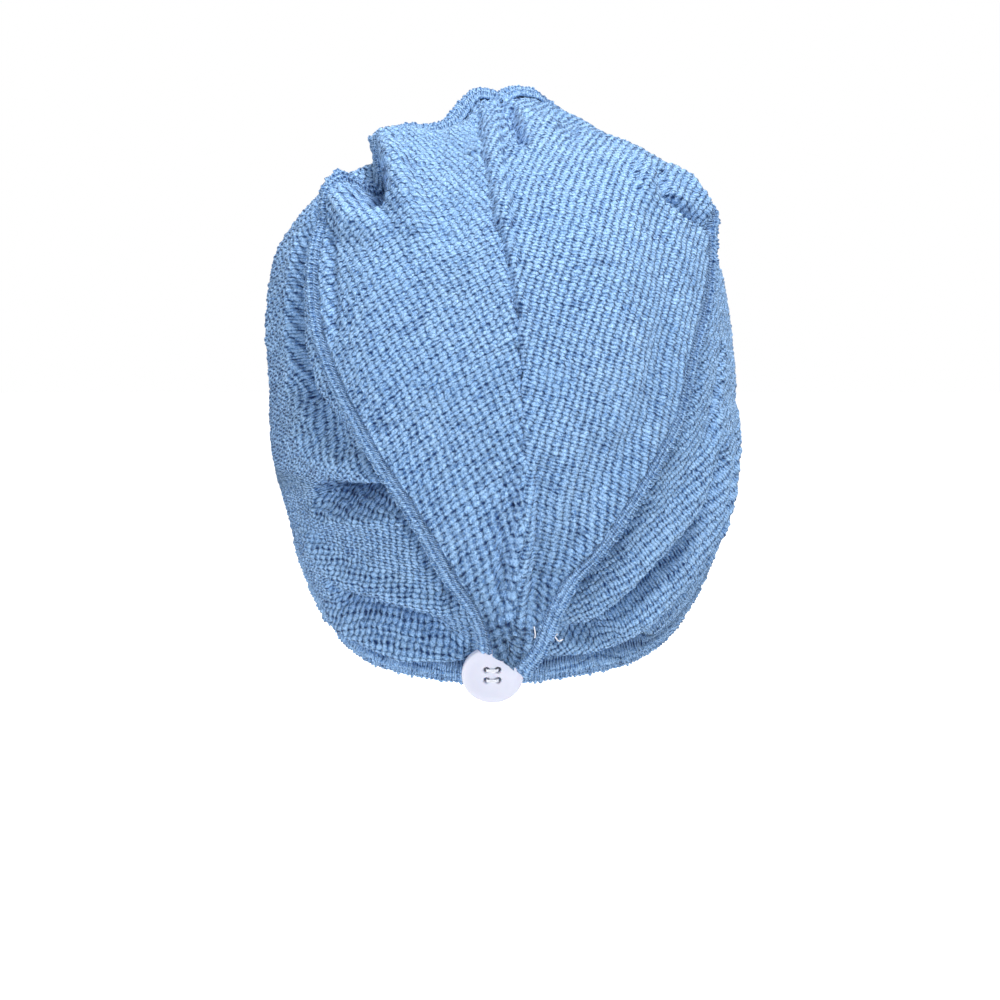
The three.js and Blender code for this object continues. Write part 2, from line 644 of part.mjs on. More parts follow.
for (const sideName of ['left', 'right']) {
  addPiece(`hood_${sideName}`, hoodHalf(sideName), towelBlue);
  addPiece(`brim_${sideName}`, brimHalf(sideName), hemBlue);
  addPiece(`tail_${sideName}`, tailPanel(sideName), towelBlue);
  addPiece(`tail_hem_${sideName}`, tailHem(sideName), hemBlue);
}
addPiece('front_twist', frontTwist(), towelBlue);
addPiece('crest_hem', crestHem(), hemBlue);

const shankLength = buttonStandOff - 3 * sewnGap;
const shank = new THREE.CylinderGeometry(shankRadius, shankRadius, shankLength, 12).rotateX(Math.PI / 2);
placedOnSeat(addPiece('button', buttonGeometry(), buttonWhite), buttonStandOff);
placedOnSeat(addPiece('button_thread', shank, threadWhite), buttonStandOff - sewnGap - shankLength / 2);
placedOnSeat(addPiece('elastic_loop', loopGeometry(), threadWhite), 0);

export default turban;
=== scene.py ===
import math

import bpy
import numpy as np
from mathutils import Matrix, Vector


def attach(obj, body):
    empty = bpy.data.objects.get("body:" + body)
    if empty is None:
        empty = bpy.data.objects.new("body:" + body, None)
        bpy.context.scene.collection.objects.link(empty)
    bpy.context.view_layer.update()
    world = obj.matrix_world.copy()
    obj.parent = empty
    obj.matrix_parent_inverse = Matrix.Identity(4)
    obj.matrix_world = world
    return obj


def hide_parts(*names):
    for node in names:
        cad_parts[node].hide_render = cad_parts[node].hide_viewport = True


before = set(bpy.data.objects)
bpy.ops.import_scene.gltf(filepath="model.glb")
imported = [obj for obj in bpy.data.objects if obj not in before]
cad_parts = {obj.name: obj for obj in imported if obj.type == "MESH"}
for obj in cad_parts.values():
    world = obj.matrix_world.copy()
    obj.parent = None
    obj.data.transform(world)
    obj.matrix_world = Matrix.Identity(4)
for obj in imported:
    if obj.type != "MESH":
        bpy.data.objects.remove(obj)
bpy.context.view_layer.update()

# Hood. Two mirrored panels of looped microfibre towelling, sewn together down the middle and drawn in
# by the hair and head inside. The loops stand in rows on a knitted ground, and the cloth lies in soft
# folds at the sides. Sizes are in millimetres here and in metres once a piece is made.
hood_half_width = 90
hood_back_depth = 103
hood_front_depth = 100
crown_height = 85
nape_drop = 192
brow_drop = 74
cloth_wall = 2.5
corner_fullness = 2.3
sewn_gap = 0.3
fold_reach = 20
fold_depth = 10
slack_height = 0.7
fine_slack_height = 0.3
brim_height = 8
hood_centre = np.array([0.0, 0.0, -crown_height])
hood_top = crown_height + cloth_wall
hood_below = nape_drop - crown_height

hood_sections = {
    "down": [0, 15, 30, 45, 60, 75, 90, 105, 120, 135, 150],
    "left": [1, 1.03, 1.1, 1.135, 1.11, 1.035, 0.99, 1.005, 1.02, 1.08, 1.14],
    "right": [1, 1.025, 1.08, 1.125, 1.07, 1.01, 1, 1.03, 1.065, 1.11, 1.16],
    "back": [1, 1.01, 1.03, 1.04, 1.03, 1, 1, 1.02, 1.075, 1.165, 1.29],
    "front": [1, 1.01, 1.02, 1.025, 1.02, 1.015, 1, 0.98, 0.955, 0.95, 0.95],
}
opening_edge = {
    "turn": [0, 30, 45, 60, 75, 90, 120, 150, 180],
    "drop": [1, 0.97, 0.93, 0.855, 0.75, 0.62, 0.35, 0.11, 0],
}


def read_table(table, column, at):
    """Value of a column on a smooth curve, level at both ends, through rows placed by the first column"""
    keys = np.array(next(iter(table.values())), float)
    values = np.array(table[column], float)
    at = np.clip(at, keys[0], keys[-1])
    row = np.clip(np.searchsorted(keys, at, side="right") - 1, 0, len(keys) - 2)
    slopes = np.zeros(len(keys))
    slopes[1:-1] = (values[2:] - values[:-2]) / (keys[2:] - keys[:-2])
    span = keys[row + 1] - keys[row]
    part = (at - keys[row]) / span
    ease = part * part * (3 - 2 * part)
    pull = part * (1 - part) * span
    bend = (1 - part) * slopes[row] - part * slopes[row + 1]
    return values[row] + (values[row + 1] - values[row]) * ease + pull * bend


def direction_by_turn(turn, down):
    turn, down = np.broadcast_arrays(np.radians(turn), np.radians(down))
    return np.stack([np.sin(down) * np.sin(turn), -np.sin(down) * np.cos(turn), np.cos(down)], -1)


def hood_radius(direction):
    """Distance of the smooth hood's outside from its centre"""
    down = np.degrees(np.arccos(np.clip(direction[..., 2], -1, 1)))
    level = np.maximum(np.hypot(direction[..., 0], direction[..., 1]), 1e-9)

    def radius(column, across):
        up = np.where(down < 90, hood_top, hood_below)
        plain = 1 / np.hypot(np.sin(np.radians(down)) / across, np.cos(np.radians(down)) / up)
        return read_table(hood_sections, column, down) * plain

    side = np.where(direction[..., 0] > 0, radius("right", hood_half_width), radius("left", hood_half_width))
    ahead = direction[..., 1] > 0
    length = np.where(ahead, radius("front", hood_front_depth), radius("back", hood_back_depth))
    side_share = (np.abs(direction[..., 0]) / level / side) ** corner_fullness
    length_share = (np.abs(direction[..., 1]) / level / length) ** corner_fullness
    return (side_share + length_share) ** (-1 / corner_fullness)


def on_hood(direction, lift=0.0):
    return hood_centre + direction * (hood_radius(direction) + lift)[..., None]


def down_at_drop(turn, drop):
    """Angle from straight up at which the smooth hood reaches a drop below the crown"""
    turn, drop = np.broadcast_arrays(np.asarray(turn, float), np.asarray(drop, float))
    low = np.full(turn.shape, 1.0)
    high = np.full(turn.shape, 170.0)
    for _ in range(40):
        middle = (low + high) / 2
        above = on_hood(direction_by_turn(turn, middle))[..., 2] > -drop
        low = np.where(above, middle, low)
        high = np.where(above, high, middle)
    return (low + high) / 2


def edge_drop(turn):
    share = read_table(opening_edge, "drop", np.abs(turn))
    return brow_drop + (nape_drop - brow_drop) * share


def fold(points, reach, depth, lean=0.0):
    """A ridge, or a hollow where depth is below zero. lean draws it steep on the left of its path."""
    return {"points": points, "reach": reach * fold_reach, "depth": depth * fold_depth, "lean": lean}


def fold_lift(folds, points):
    """Height that the folds add to points of the smooth hood. A fold is half as deep at its ends."""
    lift = np.zeros(points.shape[:-1])
    outward = points - hood_centre
    for row in folds:
        nearest = np.full(lift.shape, np.inf)
        on_left = np.zeros(lift.shape)
        progress = np.zeros(lift.shape)
        count = len(row["points"]) - 1
        for step, (start, end) in enumerate(zip(row["points"][:-1], row["points"][1:])):
            along = end - start
            part = np.clip((points - start) @ along / (along @ along), 0, 1)
            away = points - start - part[..., None] * along
            distance = np.linalg.norm(away, axis=-1)
            cross = np.einsum("...i,...i->...", np.cross(outward, along), away)
            closer = distance < nearest
            on_left = np.where(closer, np.tanh(cross / 4000), on_left)
            progress = np.where(closer, (step + part) / count, progress)
            nearest = np.minimum(nearest, distance)
        reach = row["reach"] * (1 - row["lean"] * on_left)
        ends = 0.5 + 0.5 * np.clip(5 * progress * (1 - progress), 0, 1)
        lift += row["depth"] * ends * np.maximum(1 - (nearest / reach) ** 2, 0) ** 2
    return lift


def soft_noise(points, size, seed):
    """Smooth random values from -1 to 1, in patches of about the given size"""
    cell = points / size + 1000
    low = np.floor(cell).astype(np.int64)
    part = cell - low
    part = part * part * (3 - 2 * part)
    total = np.zeros(points.shape[:-1])
    for corner in range(8):
        step = np.array([corner & 1, corner >> 1 & 1, corner >> 2])
        key = low + step
        mixed = key[..., 0] * 73856093 ^ key[..., 1] * 19349663 ^ key[..., 2] * 83492791 ^ seed * 1640531
        mixed = (mixed ^ mixed >> 13) * 1274126177 & 0xFFFFFFFF
        value = (mixed >> 8 & 0xFFFF) / 32767.5 - 1
        total += value * np.prod(np.where(step, part, 1 - part), axis=-1)
    return total


column_pitch = 2.6
row_pitch = 1.3
tuft_height = 0.95
fuzz_height = 0.13
longest_fuzz = 0.35


def tuft_relief(cloth, parted=1.0):
    """Height of the loops over the ground, as a share. cloth counts the columns and rows of loops, which
    stand in pairs of rows, and its third value is the share by which every second pair is set over.
    parted is how deep the rows are parted."""
    along = cloth[..., 1] / 2
    row = np.floor(along)
    across = cloth[..., 0] + cloth[..., 2] * np.mod(row, 2)
    column = np.floor(across)
    from_column = np.abs(across - column - 0.5) * 2
    from_row = np.abs(along - row - 0.5) * 2
    own = np.mod(np.sin(column * 12.9898 + row * 78.233) * 43758.5453, 1)
    return (1 - from_column**3) * (1 - parted * from_row**3) * (0.6 + 0.8 * own)


def loose_fibres(shape, seed):
    """Uneven height of the loose fibre ends, in millimetres"""
    return np.clip(np.random.default_rng(seed).normal(0, fuzz_height, shape), -longest_fuzz, longest_fuzz)


def stations(*stops):
    """Values from the first stop to the last, with the steps that each later stop gives"""
    values = [np.array([stops[0][0]], float)]
    for (start, _), (end, steps) in zip(stops[:-1], stops[1:]):
        values.append(np.linspace(start, end, steps + 1)[1:])
    return np.concatenate(values)


def length_along(points, axis=0):
    """Length from the first point on, along one way of a grid of points"""
    steps = np.diff(points, axis=axis, prepend=np.take(points, [0], axis=axis))
    return np.cumsum(np.linalg.norm(steps, axis=-1), axis=axis)


def grid_normals(points):
    normals = np.cross(np.gradient(points, axis=0), np.gradient(points, axis=1))
    length = np.linalg.norm(normals, axis=-1, keepdims=True)
    normals /= np.maximum(length, 1e-9)
    outward = np.einsum("...i,...i->...", normals, points - hood_centre)
    return normals if np.median(outward) > 0 else -normals


def placed(name, data):
    made = bpy.data.objects.new(name, data)
    bpy.context.scene.collection.objects.link(made)
    return made


def finish_mesh(name, points, cloth, faces, material):
    """Object of the given points in millimetres, with faces turned outward and the cloth's own places"""
    faces = [tuple(dict.fromkeys(face)) for face in faces]
    faces = [face for face in faces if len(face) > 2]
    fans = np.array([(f[0], f[i], f[i + 1]) for f in faces for i in range(1, len(f) - 1)])
    corners = points[fans] - points.mean(axis=0)
    if np.einsum("ij,ij->", corners[:, 0], np.cross(corners[:, 1], corners[:, 2])) < 0:
        faces = [face[::-1] for face in faces]
    mesh = bpy.data.meshes.new(name)
    mesh.from_pydata((points / 1000).tolist(), [], faces)
    if cloth is not None:
        mesh.attributes.new("cloth", "FLOAT_VECTOR", "POINT").data.foreach_set("vector", cloth.ravel())
    mesh.shade_smooth()
    mesh.materials.append(material)
    return placed(name, mesh)


def cloth_shell(name, outer, inner, cloth, material, skip=3, pinched=False):
    """Closed sheet between a fine outer grid and an inner grid of every skip-th row and column"""
    rows, columns = outer.shape[:2]
    fine = np.arange(rows * columns).reshape(rows, columns)
    inner = inner[::skip, ::skip]
    coarse = fine.size + np.arange(inner.shape[0] * inner.shape[1]).reshape(inner.shape[:2])
    points = np.concatenate([outer.reshape(-1, 3), inner.reshape(-1, 3)])
    places = np.concatenate([cloth.reshape(-1, 3), cloth[::skip, ::skip].reshape(-1, 3)])
    if pinched:
        fine[0] = fine[0, 0]
        coarse[0] = coarse[0, 0]
    quads = np.stack([fine[:-1, :-1], fine[:-1, 1:], fine[1:, 1:], fine[1:, :-1]], -1)
    under = np.stack([coarse[:-1, :-1], coarse[1:, :-1], coarse[1:, 1:], coarse[:-1, 1:]], -1)
    faces = quads.reshape(-1, 4).tolist() + under.reshape(-1, 4).tolist()
    borders = [(fine[0][::-1], coarse[0][::-1]), (fine[-1], coarse[-1])]
    borders += [(fine[:, 0], coarse[:, 0]), (fine[::-1, -1], coarse[::-1, -1])]
    for edge, back in borders[pinched:]:
        for i in range(len(back) - 1):
            stretch = edge[i * skip : (i + 1) * skip + 1]
            faces.append((*stretch.tolist(), int(back[i + 1]), int(back[i])))
    if pinched:
        used = np.unique(np.concatenate([fine.ravel(), coarse.ravel()]))
        slot = np.full(len(points), -1)
        slot[used] = np.arange(len(used))
        points, places = points[used], places[used]
        faces = [tuple(slot[list(face)].tolist()) for face in faces]
    return finish_mesh(name, points, places, faces, material)


def node(tree, kind, sockets=None, **settings):
    """A shader node with its settings, and each socket given a value or another node's output"""
    made = tree.nodes.new(kind)
    for key, value in settings.items():
        setattr(made, key, value)
    for key, value in (sockets or {}).items():
        if isinstance(value, bpy.types.NodeSocket):
            tree.links.new(value, made.inputs[key])
        else:
            made.inputs[key].default_value = value
    return made


def sum_of(tree, operation, first, second=0.0, third=0.0, clamp=False):
    sockets = {0: first, 1: second, 2: third}
    return node(tree, "ShaderNodeMath", sockets, operation=operation, use_clamp=clamp).outputs[0]


def new_group(name, vectors, values, outputs):
    group = bpy.data.node_groups.new(name, "ShaderNodeTree")
    for label in vectors:
        group.interface.new_socket(name=label, in_out="INPUT", socket_type="NodeSocketVector")
    for label, value in values.items():
        socket = group.interface.new_socket(name=label, in_out="INPUT", socket_type="NodeSocketFloat")
        socket.default_value = value
    for label in outputs:
        group.interface.new_socket(name=label, in_out="OUTPUT", socket_type="NodeSocketFloat")
    return group, group.nodes.new("NodeGroupInput").outputs, group.nodes.new("NodeGroupOutput")


def group_outputs(tree, group, sockets):
    return node(tree, "ShaderNodeGroup", sockets, node_tree=group).outputs


def noise(tree, place, scale, detail, output="Fac"):
    sockets = {"Vector": place, "Scale": scale, "Detail": detail}
    return node(tree, "ShaderNodeTexNoise", sockets).outputs[output]


loops, given, result = new_group(
    "Towel loops", ["Cloth", "Place"], {"Fibre size": 0.5}, ["Height", "Gap shade", "Fibre"]
)
stray = {0: noise(loops, given["Place"], 520.0, 1.0, "Color"), 1: (0.5, 0.8, 0), 2: given["Cloth"]}
strayed = node(loops, "ShaderNodeVectorMath", stray, operation="MULTIPLY_ADD")
place = node(loops, "ShaderNodeSeparateXYZ", {0: strayed.outputs[0]}).outputs
row = sum_of(loops, "FLOOR", place["Y"])
set_over = sum_of(loops, "MULTIPLY", sum_of(loops, "FLOORED_MODULO", row, 2.0), place["Z"])
across = sum_of(loops, "ADD", place["X"], set_over)
column = sum_of(loops, "FLOOR", across)


def from_middle(value, whole):
    centred = sum_of(loops, "SUBTRACT", sum_of(loops, "SUBTRACT", value, whole), 0.5)
    return sum_of(loops, "MULTIPLY", sum_of(loops, "ABSOLUTE", centred), 2.0)


from_column = from_middle(across, column)
from_row = from_middle(place["Y"], row)
rounded_across = sum_of(loops, "SUBTRACT", 1.0, sum_of(loops, "POWER", from_column, 3.5))
sunk = sum_of(loops, "MULTIPLY", sum_of(loops, "POWER", from_row, 3.0), 0.55)
dome = sum_of(loops, "MULTIPLY", rounded_across, sum_of(loops, "SUBTRACT", 1.0, sunk))
cell = node(loops, "ShaderNodeCombineXYZ", {0: column, 1: row}).outputs[0]
tone = node(loops, "ShaderNodeTexWhiteNoise", {"Vector": cell}, noise_dimensions="2D").outputs["Value"]
fibre_scale = sum_of(loops, "DIVIDE", 1000.0, given["Fibre size"])
tangle = {"Vector": given["Place"], "Scale": fibre_scale, "Detail": 2.0, "Roughness": 0.6, "Distortion": 0.6}
fibre = node(loops, "ShaderNodeTexNoise", tangle).outputs["Fac"]
tall = sum_of(loops, "MULTIPLY_ADD", tone, 0.5, 0.75)
loops.links.new(sum_of(loops, "MULTIPLY", dome, tall), result.inputs["Height"])
# Gap is a mask for painted shade between the loops: darkest at each loop's corners, and deeper between pairs
# of rows.
corner = sum_of(loops, "MULTIPLY", from_column, from_row)
wide = sum_of(loops, "MULTIPLY_ADD", tone, 1.5, 0.6)
paired = sum_of(loops, "FLOORED_MODULO", sum_of(loops, "ROUND", place["Y"]), 2.0)
deep = sum_of(loops, "MULTIPLY_ADD", paired, 0.5, 0.9)
gap_shade = sum_of(loops, "MULTIPLY", sum_of(loops, "POWER", corner, wide), deep, clamp=True)
loops.links.new(gap_shade, result.inputs["Gap shade"])
loops.links.new(fibre, result.inputs["Fibre"])


def colour_mix(tree, share, first, second, blend="MIX"):
    sockets = {0: share, 6: first, 7: second}
    return node(tree, "ShaderNodeMix", sockets, data_type="RGBA", blend_type=blend).outputs[2]


def new_material(name):
    material = bpy.data.materials.new(name)
    material.use_nodes = True
    return material, material.node_tree


def surface(tree, colour, bump, settings):
    """Joins the colour and the bump to a material's shader and sets its other sockets"""
    shade = tree.nodes["Principled BSDF"].inputs
    tree.links.new(colour, shade["Base Color"])
    tree.links.new(bump.outputs[0], shade["Normal"])
    for label, value in settings.items():
        shade[label].default_value = value


cloth_sheen = {"Sheen Weight": 0.16, "Sheen Roughness": 0.45, "Sheen Tint": (0.75, 0.88, 1, 1)}
towel, tree = new_material("Looped towelling")
cloth_place = node(tree, "ShaderNodeAttribute", attribute_name="cloth").outputs["Vector"]
body_place = node(tree, "ShaderNodeTexCoord").outputs["Object"]
loop = group_outputs(tree, loops, {"Cloth": cloth_place, "Place": body_place, "Fibre size": 0.7})
patches = noise(tree, body_place, 55.0, 2.0)
# Painted light and shade on the loops: the first colour is a lit blue for the loop tops and the second a
# shaded blue for their sides, mixed by each loop's height. The fibre noise adds random tone and painted
# glints. The third colour is a near-black blue painted as shade into the gaps between the loops.
lit_loop_tip = (0.41, 0.66, 1.0, 1)
shaded_loop_side = (0.115, 0.275, 0.6, 1)
gap_shade_blue = (0.004, 0.03, 0.13, 1)
fibre_tone_and_glint = sum_of(tree, "MULTIPLY_ADD", loop["Fibre"], 4.6, -2.05)
tip_light_and_fibre = sum_of(tree, "MULTIPLY_ADD", loop["Height"], 0.6, fibre_tone_and_glint, clamp=True)
tip_lit_fibres = colour_mix(tree, tip_light_and_fibre, shaded_loop_side, lit_loop_tip)
# Painted shade: the gaps between the loops are darkened towards the near-black blue, more in some patches
# than in others.
gap_shade_amount = sum_of(tree, "MULTIPLY", loop["Gap shade"], sum_of(tree, "MULTIPLY_ADD", patches, 2.6, 0.0, clamp=True))
gap_shaded = colour_mix(tree, gap_shade_amount, tip_lit_fibres, gap_shade_blue)
patchy = colour_mix(tree, patches, (0.84, 0.9, 0.95, 1), (1.1, 1.06, 1.03, 1))
towel_colour = colour_mix(tree, 1.0, gap_shaded, patchy, "MULTIPLY")
relief = sum_of(tree, "MULTIPLY_ADD", loop["Fibre"], 0.9, loop["Height"])
towel_bump = node(tree, "ShaderNodeBump", {"Height": relief, "Strength": 1.0, "Distance": 0.0009})
surface(tree, towel_colour, towel_bump, {"Roughness": 0.92, "Specular IOR Level": 0.25, **cloth_sheen})

# The folds of each side, from the temple down to the nape: the path, reach, depth and lean of each
hood_folds_left = [
    ([(-60, 0.08), (-68, 0.17), (-68, 0.3), (-70, 0.4)], 0.6, 0.2),
    ([(-55, 0.15), (-53, 0.27), (-51, 0.36), (-47, 0.43)], 0.42, -1.6),
    ([(-54, 0.1), (-52, 0.13)], 0.4, -0.6),
    ([(-54, 0.012), (-44, 0.034), (-36, 0.078)], 0.55, -1.4),
    ([(-52, 0.43), (-45, 0.46), (-34, 0.53)], 0.4, -0.85),
    ([(-50, 0.53), (-42, 0.57), (-24, 0.59)], 0.4, 0.5),
    ([(-42, 0.64), (-34, 0.637), (-21, 0.633)], 0.38, -1.75, 0.25),
    ([(-48, 0.69), (-40, 0.68), (-26, 0.675)], 0.4, 0.3),
    ([(-54, 0.71), (-48, 0.75), (-40, 0.79), (-30, 0.805), (-14, 0.85)], 0.36, 0.5),
    ([(-46, 0.83), (-42, 0.85), (-30, 0.87), (-19, 0.885), (-13, 0.91)], 0.38, -0.9, -0.2),
    ([(-52, 0.87), (-43, 0.89), (-25, 0.932), (-10, 0.935)], 0.24, 0.55),
    ([(-58, 0.905), (-45, 0.925), (-27, 0.95), (-9, 0.957)], 0.16, -0.7),
    ([(-27.9, 0.526), (-22.5, 0.602), (-17.5, 0.684), (-13.0, 0.759), (-9.2, 0.826)], 0.34, -0.9),
]
hood_folds_right = [
    ([(46, 0.08), (51, 0.11), (58, 0.135)], 0.32, -0.4),
    ([(47, 0.36), (42, 0.44), (36, 0.53)], 0.5, -0.8),
    ([(62, 0.36), (57, 0.43), (50, 0.52)], 0.22, -0.45),
    ([(55, 0.5), (44, 0.66), (30, 0.78), (22, 0.85)], 0.36, 0.5, 0.3),
    ([(58, 0.58), (40, 0.77), (24, 0.88)], 0.3, -0.65),
    ([(64, 0.56), (54, 0.73), (38, 0.86), (28, 0.91)], 0.4, 0.55, 0.3),
    ([(30, 0.66), (20, 0.76), (12, 0.84)], 0.3, -0.5),
    ([(74, 0.55), (62, 0.72), (50, 0.82)], 0.36, -0.5),
    ([(80, 0.5), (70, 0.68), (58, 0.8)], 0.3, 0.3),
    ([(27, 0.905), (15, 0.9)], 0.3, -0.7),
    ([(10, 0.955), (26, 0.955), (39, 0.925), (52, 0.85)], 0.14, -0.5),
]
brow_gathers = [
    ([(160, 0.3), (128, 0.33), (100, 0.4)], 0.5, 0.35),
    ([(156, 0.2), (126, 0.2), (100, 0.22)], 0.5, 0.35),
    ([(146, 0.25), (120, 0.27)], 0.35, -0.35),
    ([(140, 0.12), (112, 0.11)], 0.4, -0.3),
]


def place_folds(folds, point_of):
    return [fold([point_of(first, second) for first, second in path], *form) for path, *form in folds]


def hood_point(turn, drop):
    return on_hood(direction_by_turn(turn, down_at_drop(turn, drop * nape_drop)))


def mirrored(folds):
    """The same folds on the other side, for folds that don't lean"""
    return [([(-turn, drop) for turn, drop in path], *form) for path, *form in folds]


hood_folds = {
    -1: place_folds(hood_folds_left + mirrored(brow_gathers), hood_point),
    1: place_folds(hood_folds_right + brow_gathers, hood_point),
}


def hood_lift(sign, points):
    """Folds of one side with the slack of soft cloth"""
    lift = fold_lift(hood_folds[sign], points) + slack_height * soft_noise(points, 24, 5)
    return lift + fine_slack_height * soft_noise(points, 9, 6)


def laid_cloth(right, up, angle, rows=row_pitch, columns=column_pitch, set_over=0.12):
    """Columns and rows of loops at places right and up on a panel, with the columns at an angle"""
    turned = np.radians(angle)
    across = (right * np.cos(turned) + up * np.sin(turned)) / columns
    along = (up * np.cos(turned) - right * np.sin(turned)) / rows
    across, along = np.broadcast_arrays(across, along)
    return np.stack([across, along, np.full(across.shape, set_over)], -1)


def blended(low, high, at):
    """Smooth share from 0 at the low bound to 1 at the high one"""
    part = np.clip((at - low) / (high - low), 0, 1)
    return part * part * (3 - 2 * part)


def wandering(smooth, seed):
    """Uneven lie of the rows, in millimetres"""
    return 0.9 * soft_noise(smooth, 17, seed) + 0.3 * soft_noise(smooth, 3.6, seed + 1)


hood_shares = stations((0.001, 0), (0.26, 21), (1, 267))
hood_turns = stations((0, 0), (20, 21), (95, 144), (180, 90))
rows_turn = (0.6, 0.655)
rows_meet = 0.63
middle_turn = 42
left_angle = 36
low_left_angle = -8
right_angle = -50
right_column_pitch = 2.2
for sign, name in ((-1, "left"), (1, "right")):
    turn = sign * hood_turns[None, :]
    lowest = down_at_drop(turn, edge_drop(turn) - brim_height)
    down = hood_shares[:, None] * lowest
    direction = direction_by_turn(turn, down)
    smooth = on_hood(direction)
    lift = hood_lift(sign, smooth)
    level_radius = np.hypot(smooth[..., 0], smooth[..., 1])
    right = np.radians(turn - sign * middle_turn) * level_radius + wandering(smooth, 11)
    below_crown = length_along(smooth)
    drop_share = -smooth[..., 2] / nape_drop
    meeting = [np.interp(rows_meet, *column) for column in zip(drop_share.T, below_crown.T)]
    up = wandering(smooth, 13) + np.array(meeting) - below_crown
    if sign < 0:
        lower = blended(*rows_turn, drop_share)[..., None]
        upper = laid_cloth(right, up, left_angle) * (1 - lower)
        cloth = upper + laid_cloth(right, up, low_left_angle) * lower
    else:
        cloth = laid_cloth(right, up, right_angle, columns=right_column_pitch)
    outer = on_hood(direction, lift)
    fade = np.clip((1 - hood_shares[:, None]) * 60, 0, 1)
    relief = tuft_height * (tuft_relief(cloth, 0.7 - 0.3 * sign) - 0.45) + loose_fibres(lift.shape, 50 + sign)
    outer = outer + grid_normals(outer) * (relief * fade)[..., None]
    inner = on_hood(direction, lift - cloth_wall)
    seam = np.array([sign * sewn_gap / 2, 0, 0])
    outer[:, 0, 0] = 0
    hood = cloth_shell(f"hood_cloth_{name}", outer + seam, inner + seam, cloth, towel, pinched=True)
    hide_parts(f"hood_{name}")
    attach(hood, "root")

# Brim. The edge of the opening is folded under once and stitched, which leaves a plump band with a
# line of thread along its upper side.
brim_thickness = 4.2
hem_thinning = 0.6
hem_column = 1.7
hem_row = 0.95
stitch_pitch = 1.2
stitch_slant = 0.5
stitch_sink = 0.6
crease_depth = 0.8
hem_tuft_height = 1.15
stitch_height = 0.35


def hem_thickness(thickness, share):
    return thickness * (1 - hem_thinning * (2 * share - 1) ** 4)


overlock, given, result = new_group(
    "Overlock stitches", ["Cloth"], {"Pitch": 1.25, "Slant": 0.35}, ["Thread", "Hole shade"]
)
place = node(overlock, "ShaderNodeSeparateXYZ", {0: given["Cloth"]}).outputs
slid = sum_of(overlock, "MULTIPLY_ADD", place["X"], given["Slant"], place["Y"])
beat = sum_of(overlock, "DIVIDE", slid, given["Pitch"])
wave = sum_of(overlock, "PINGPONG", beat, 0.5)
thread = sum_of(overlock, "SUBTRACT", 1.0, sum_of(overlock, "MULTIPLY", wave, 3.2), clamp=True)
on_band = sum_of(overlock, "SUBTRACT", place["Z"], 0.0, clamp=True)
thread = sum_of(overlock, "MULTIPLY", sum_of(overlock, "POWER", thread, 0.5), on_band)
overlock.links.new(thread, result.inputs["Thread"])
# Hole is a mask for painted shade in the holes between the overlock stitches.
hole = sum_of(overlock, "MULTIPLY_ADD", wave, 6.0, -1.5, clamp=True)
overlock.links.new(sum_of(overlock, "MULTIPLY", hole, on_band), result.inputs["Hole shade"])

hem, tree = new_material("Overlocked hem")
hem_place = node(tree, "ShaderNodeAttribute", attribute_name="cloth").outputs["Vector"]
body_place = node(tree, "ShaderNodeTexCoord").outputs["Object"]
per_loop = (1 / hem_column, 1 / hem_row, 0)
hem_cloth = node(tree, "ShaderNodeVectorMath", {0: hem_place, 1: per_loop}, operation="MULTIPLY").outputs[0]
loop = group_outputs(tree, loops, {"Cloth": hem_cloth, "Place": body_place, "Fibre size": 0.7})
stitch = group_outputs(tree, overlock, {"Cloth": hem_place, "Pitch": stitch_pitch, "Slant": stitch_slant})
# Painted light and shade, as on the towelling: loop tops lit and loop sides shaded by height, and the gaps
# between the loops darkened towards the near-black blue.
fibre_tone_and_glint = sum_of(tree, "MULTIPLY_ADD", loop["Fibre"], 4.6, -2.1)
tip_light_and_fibre = sum_of(tree, "MULTIPLY_ADD", loop["Height"], 0.6, fibre_tone_and_glint, clamp=True)
tip_lit_fibres = colour_mix(tree, tip_light_and_fibre, shaded_loop_side, lit_loop_tip)
gap_shaded = colour_mix(tree, sum_of(tree, "MULTIPLY", loop["Gap shade"], 0.9), tip_lit_fibres, gap_shade_blue)
threaded = colour_mix(tree, sum_of(tree, "MULTIPLY", stitch["Thread"], 0.5), gap_shaded, (0.36, 0.58, 0.92, 1))
# Painted shade: the holes between the stitches are darkened towards the near-black blue.
hem_colour = colour_mix(tree, sum_of(tree, "MULTIPLY", stitch["Hole shade"], 0.85), threaded, gap_shade_blue)
raised = sum_of(tree, "ADD", loop["Height"], stitch["Thread"])
relief = sum_of(tree, "MULTIPLY_ADD", loop["Fibre"], 0.9, raised)
hem_bump = node(tree, "ShaderNodeBump", {"Height": relief, "Strength": 0.9, "Distance": 0.0007})
surface(tree, hem_colour, hem_bump, {"Roughness": 0.88, "Specular IOR Level": 0.3, **cloth_sheen})


def hem_relief(cloth):
    """Height of the loops on a hem's roll and of the overlock threads on its stitched share"""
    stitched = np.clip(cloth[..., 2], 0, 1)
    wave = np.abs(np.mod((cloth[..., 1] + stitch_slant * cloth[..., 0]) / stitch_pitch, 1) - 0.5) * 2
    tufts = hem_tuft_height * (tuft_relief(cloth * per_loop) - 0.45)
    ladder = stitch_height * (wave**1.5 - 0.5) * stitched
    return tufts * (1 - stitched) + ladder + loose_fibres(wave.shape, 70)


def hem_face(outer, share, width, along, stitched):
    """A hem's outside with its loops and stitches, and its places across and along the hem"""
    cloth = np.stack([share * width + 0 * along, along, stitched + 0 * along], -1)
    return outer + grid_normals(outer) * hem_relief(cloth)[..., None], cloth


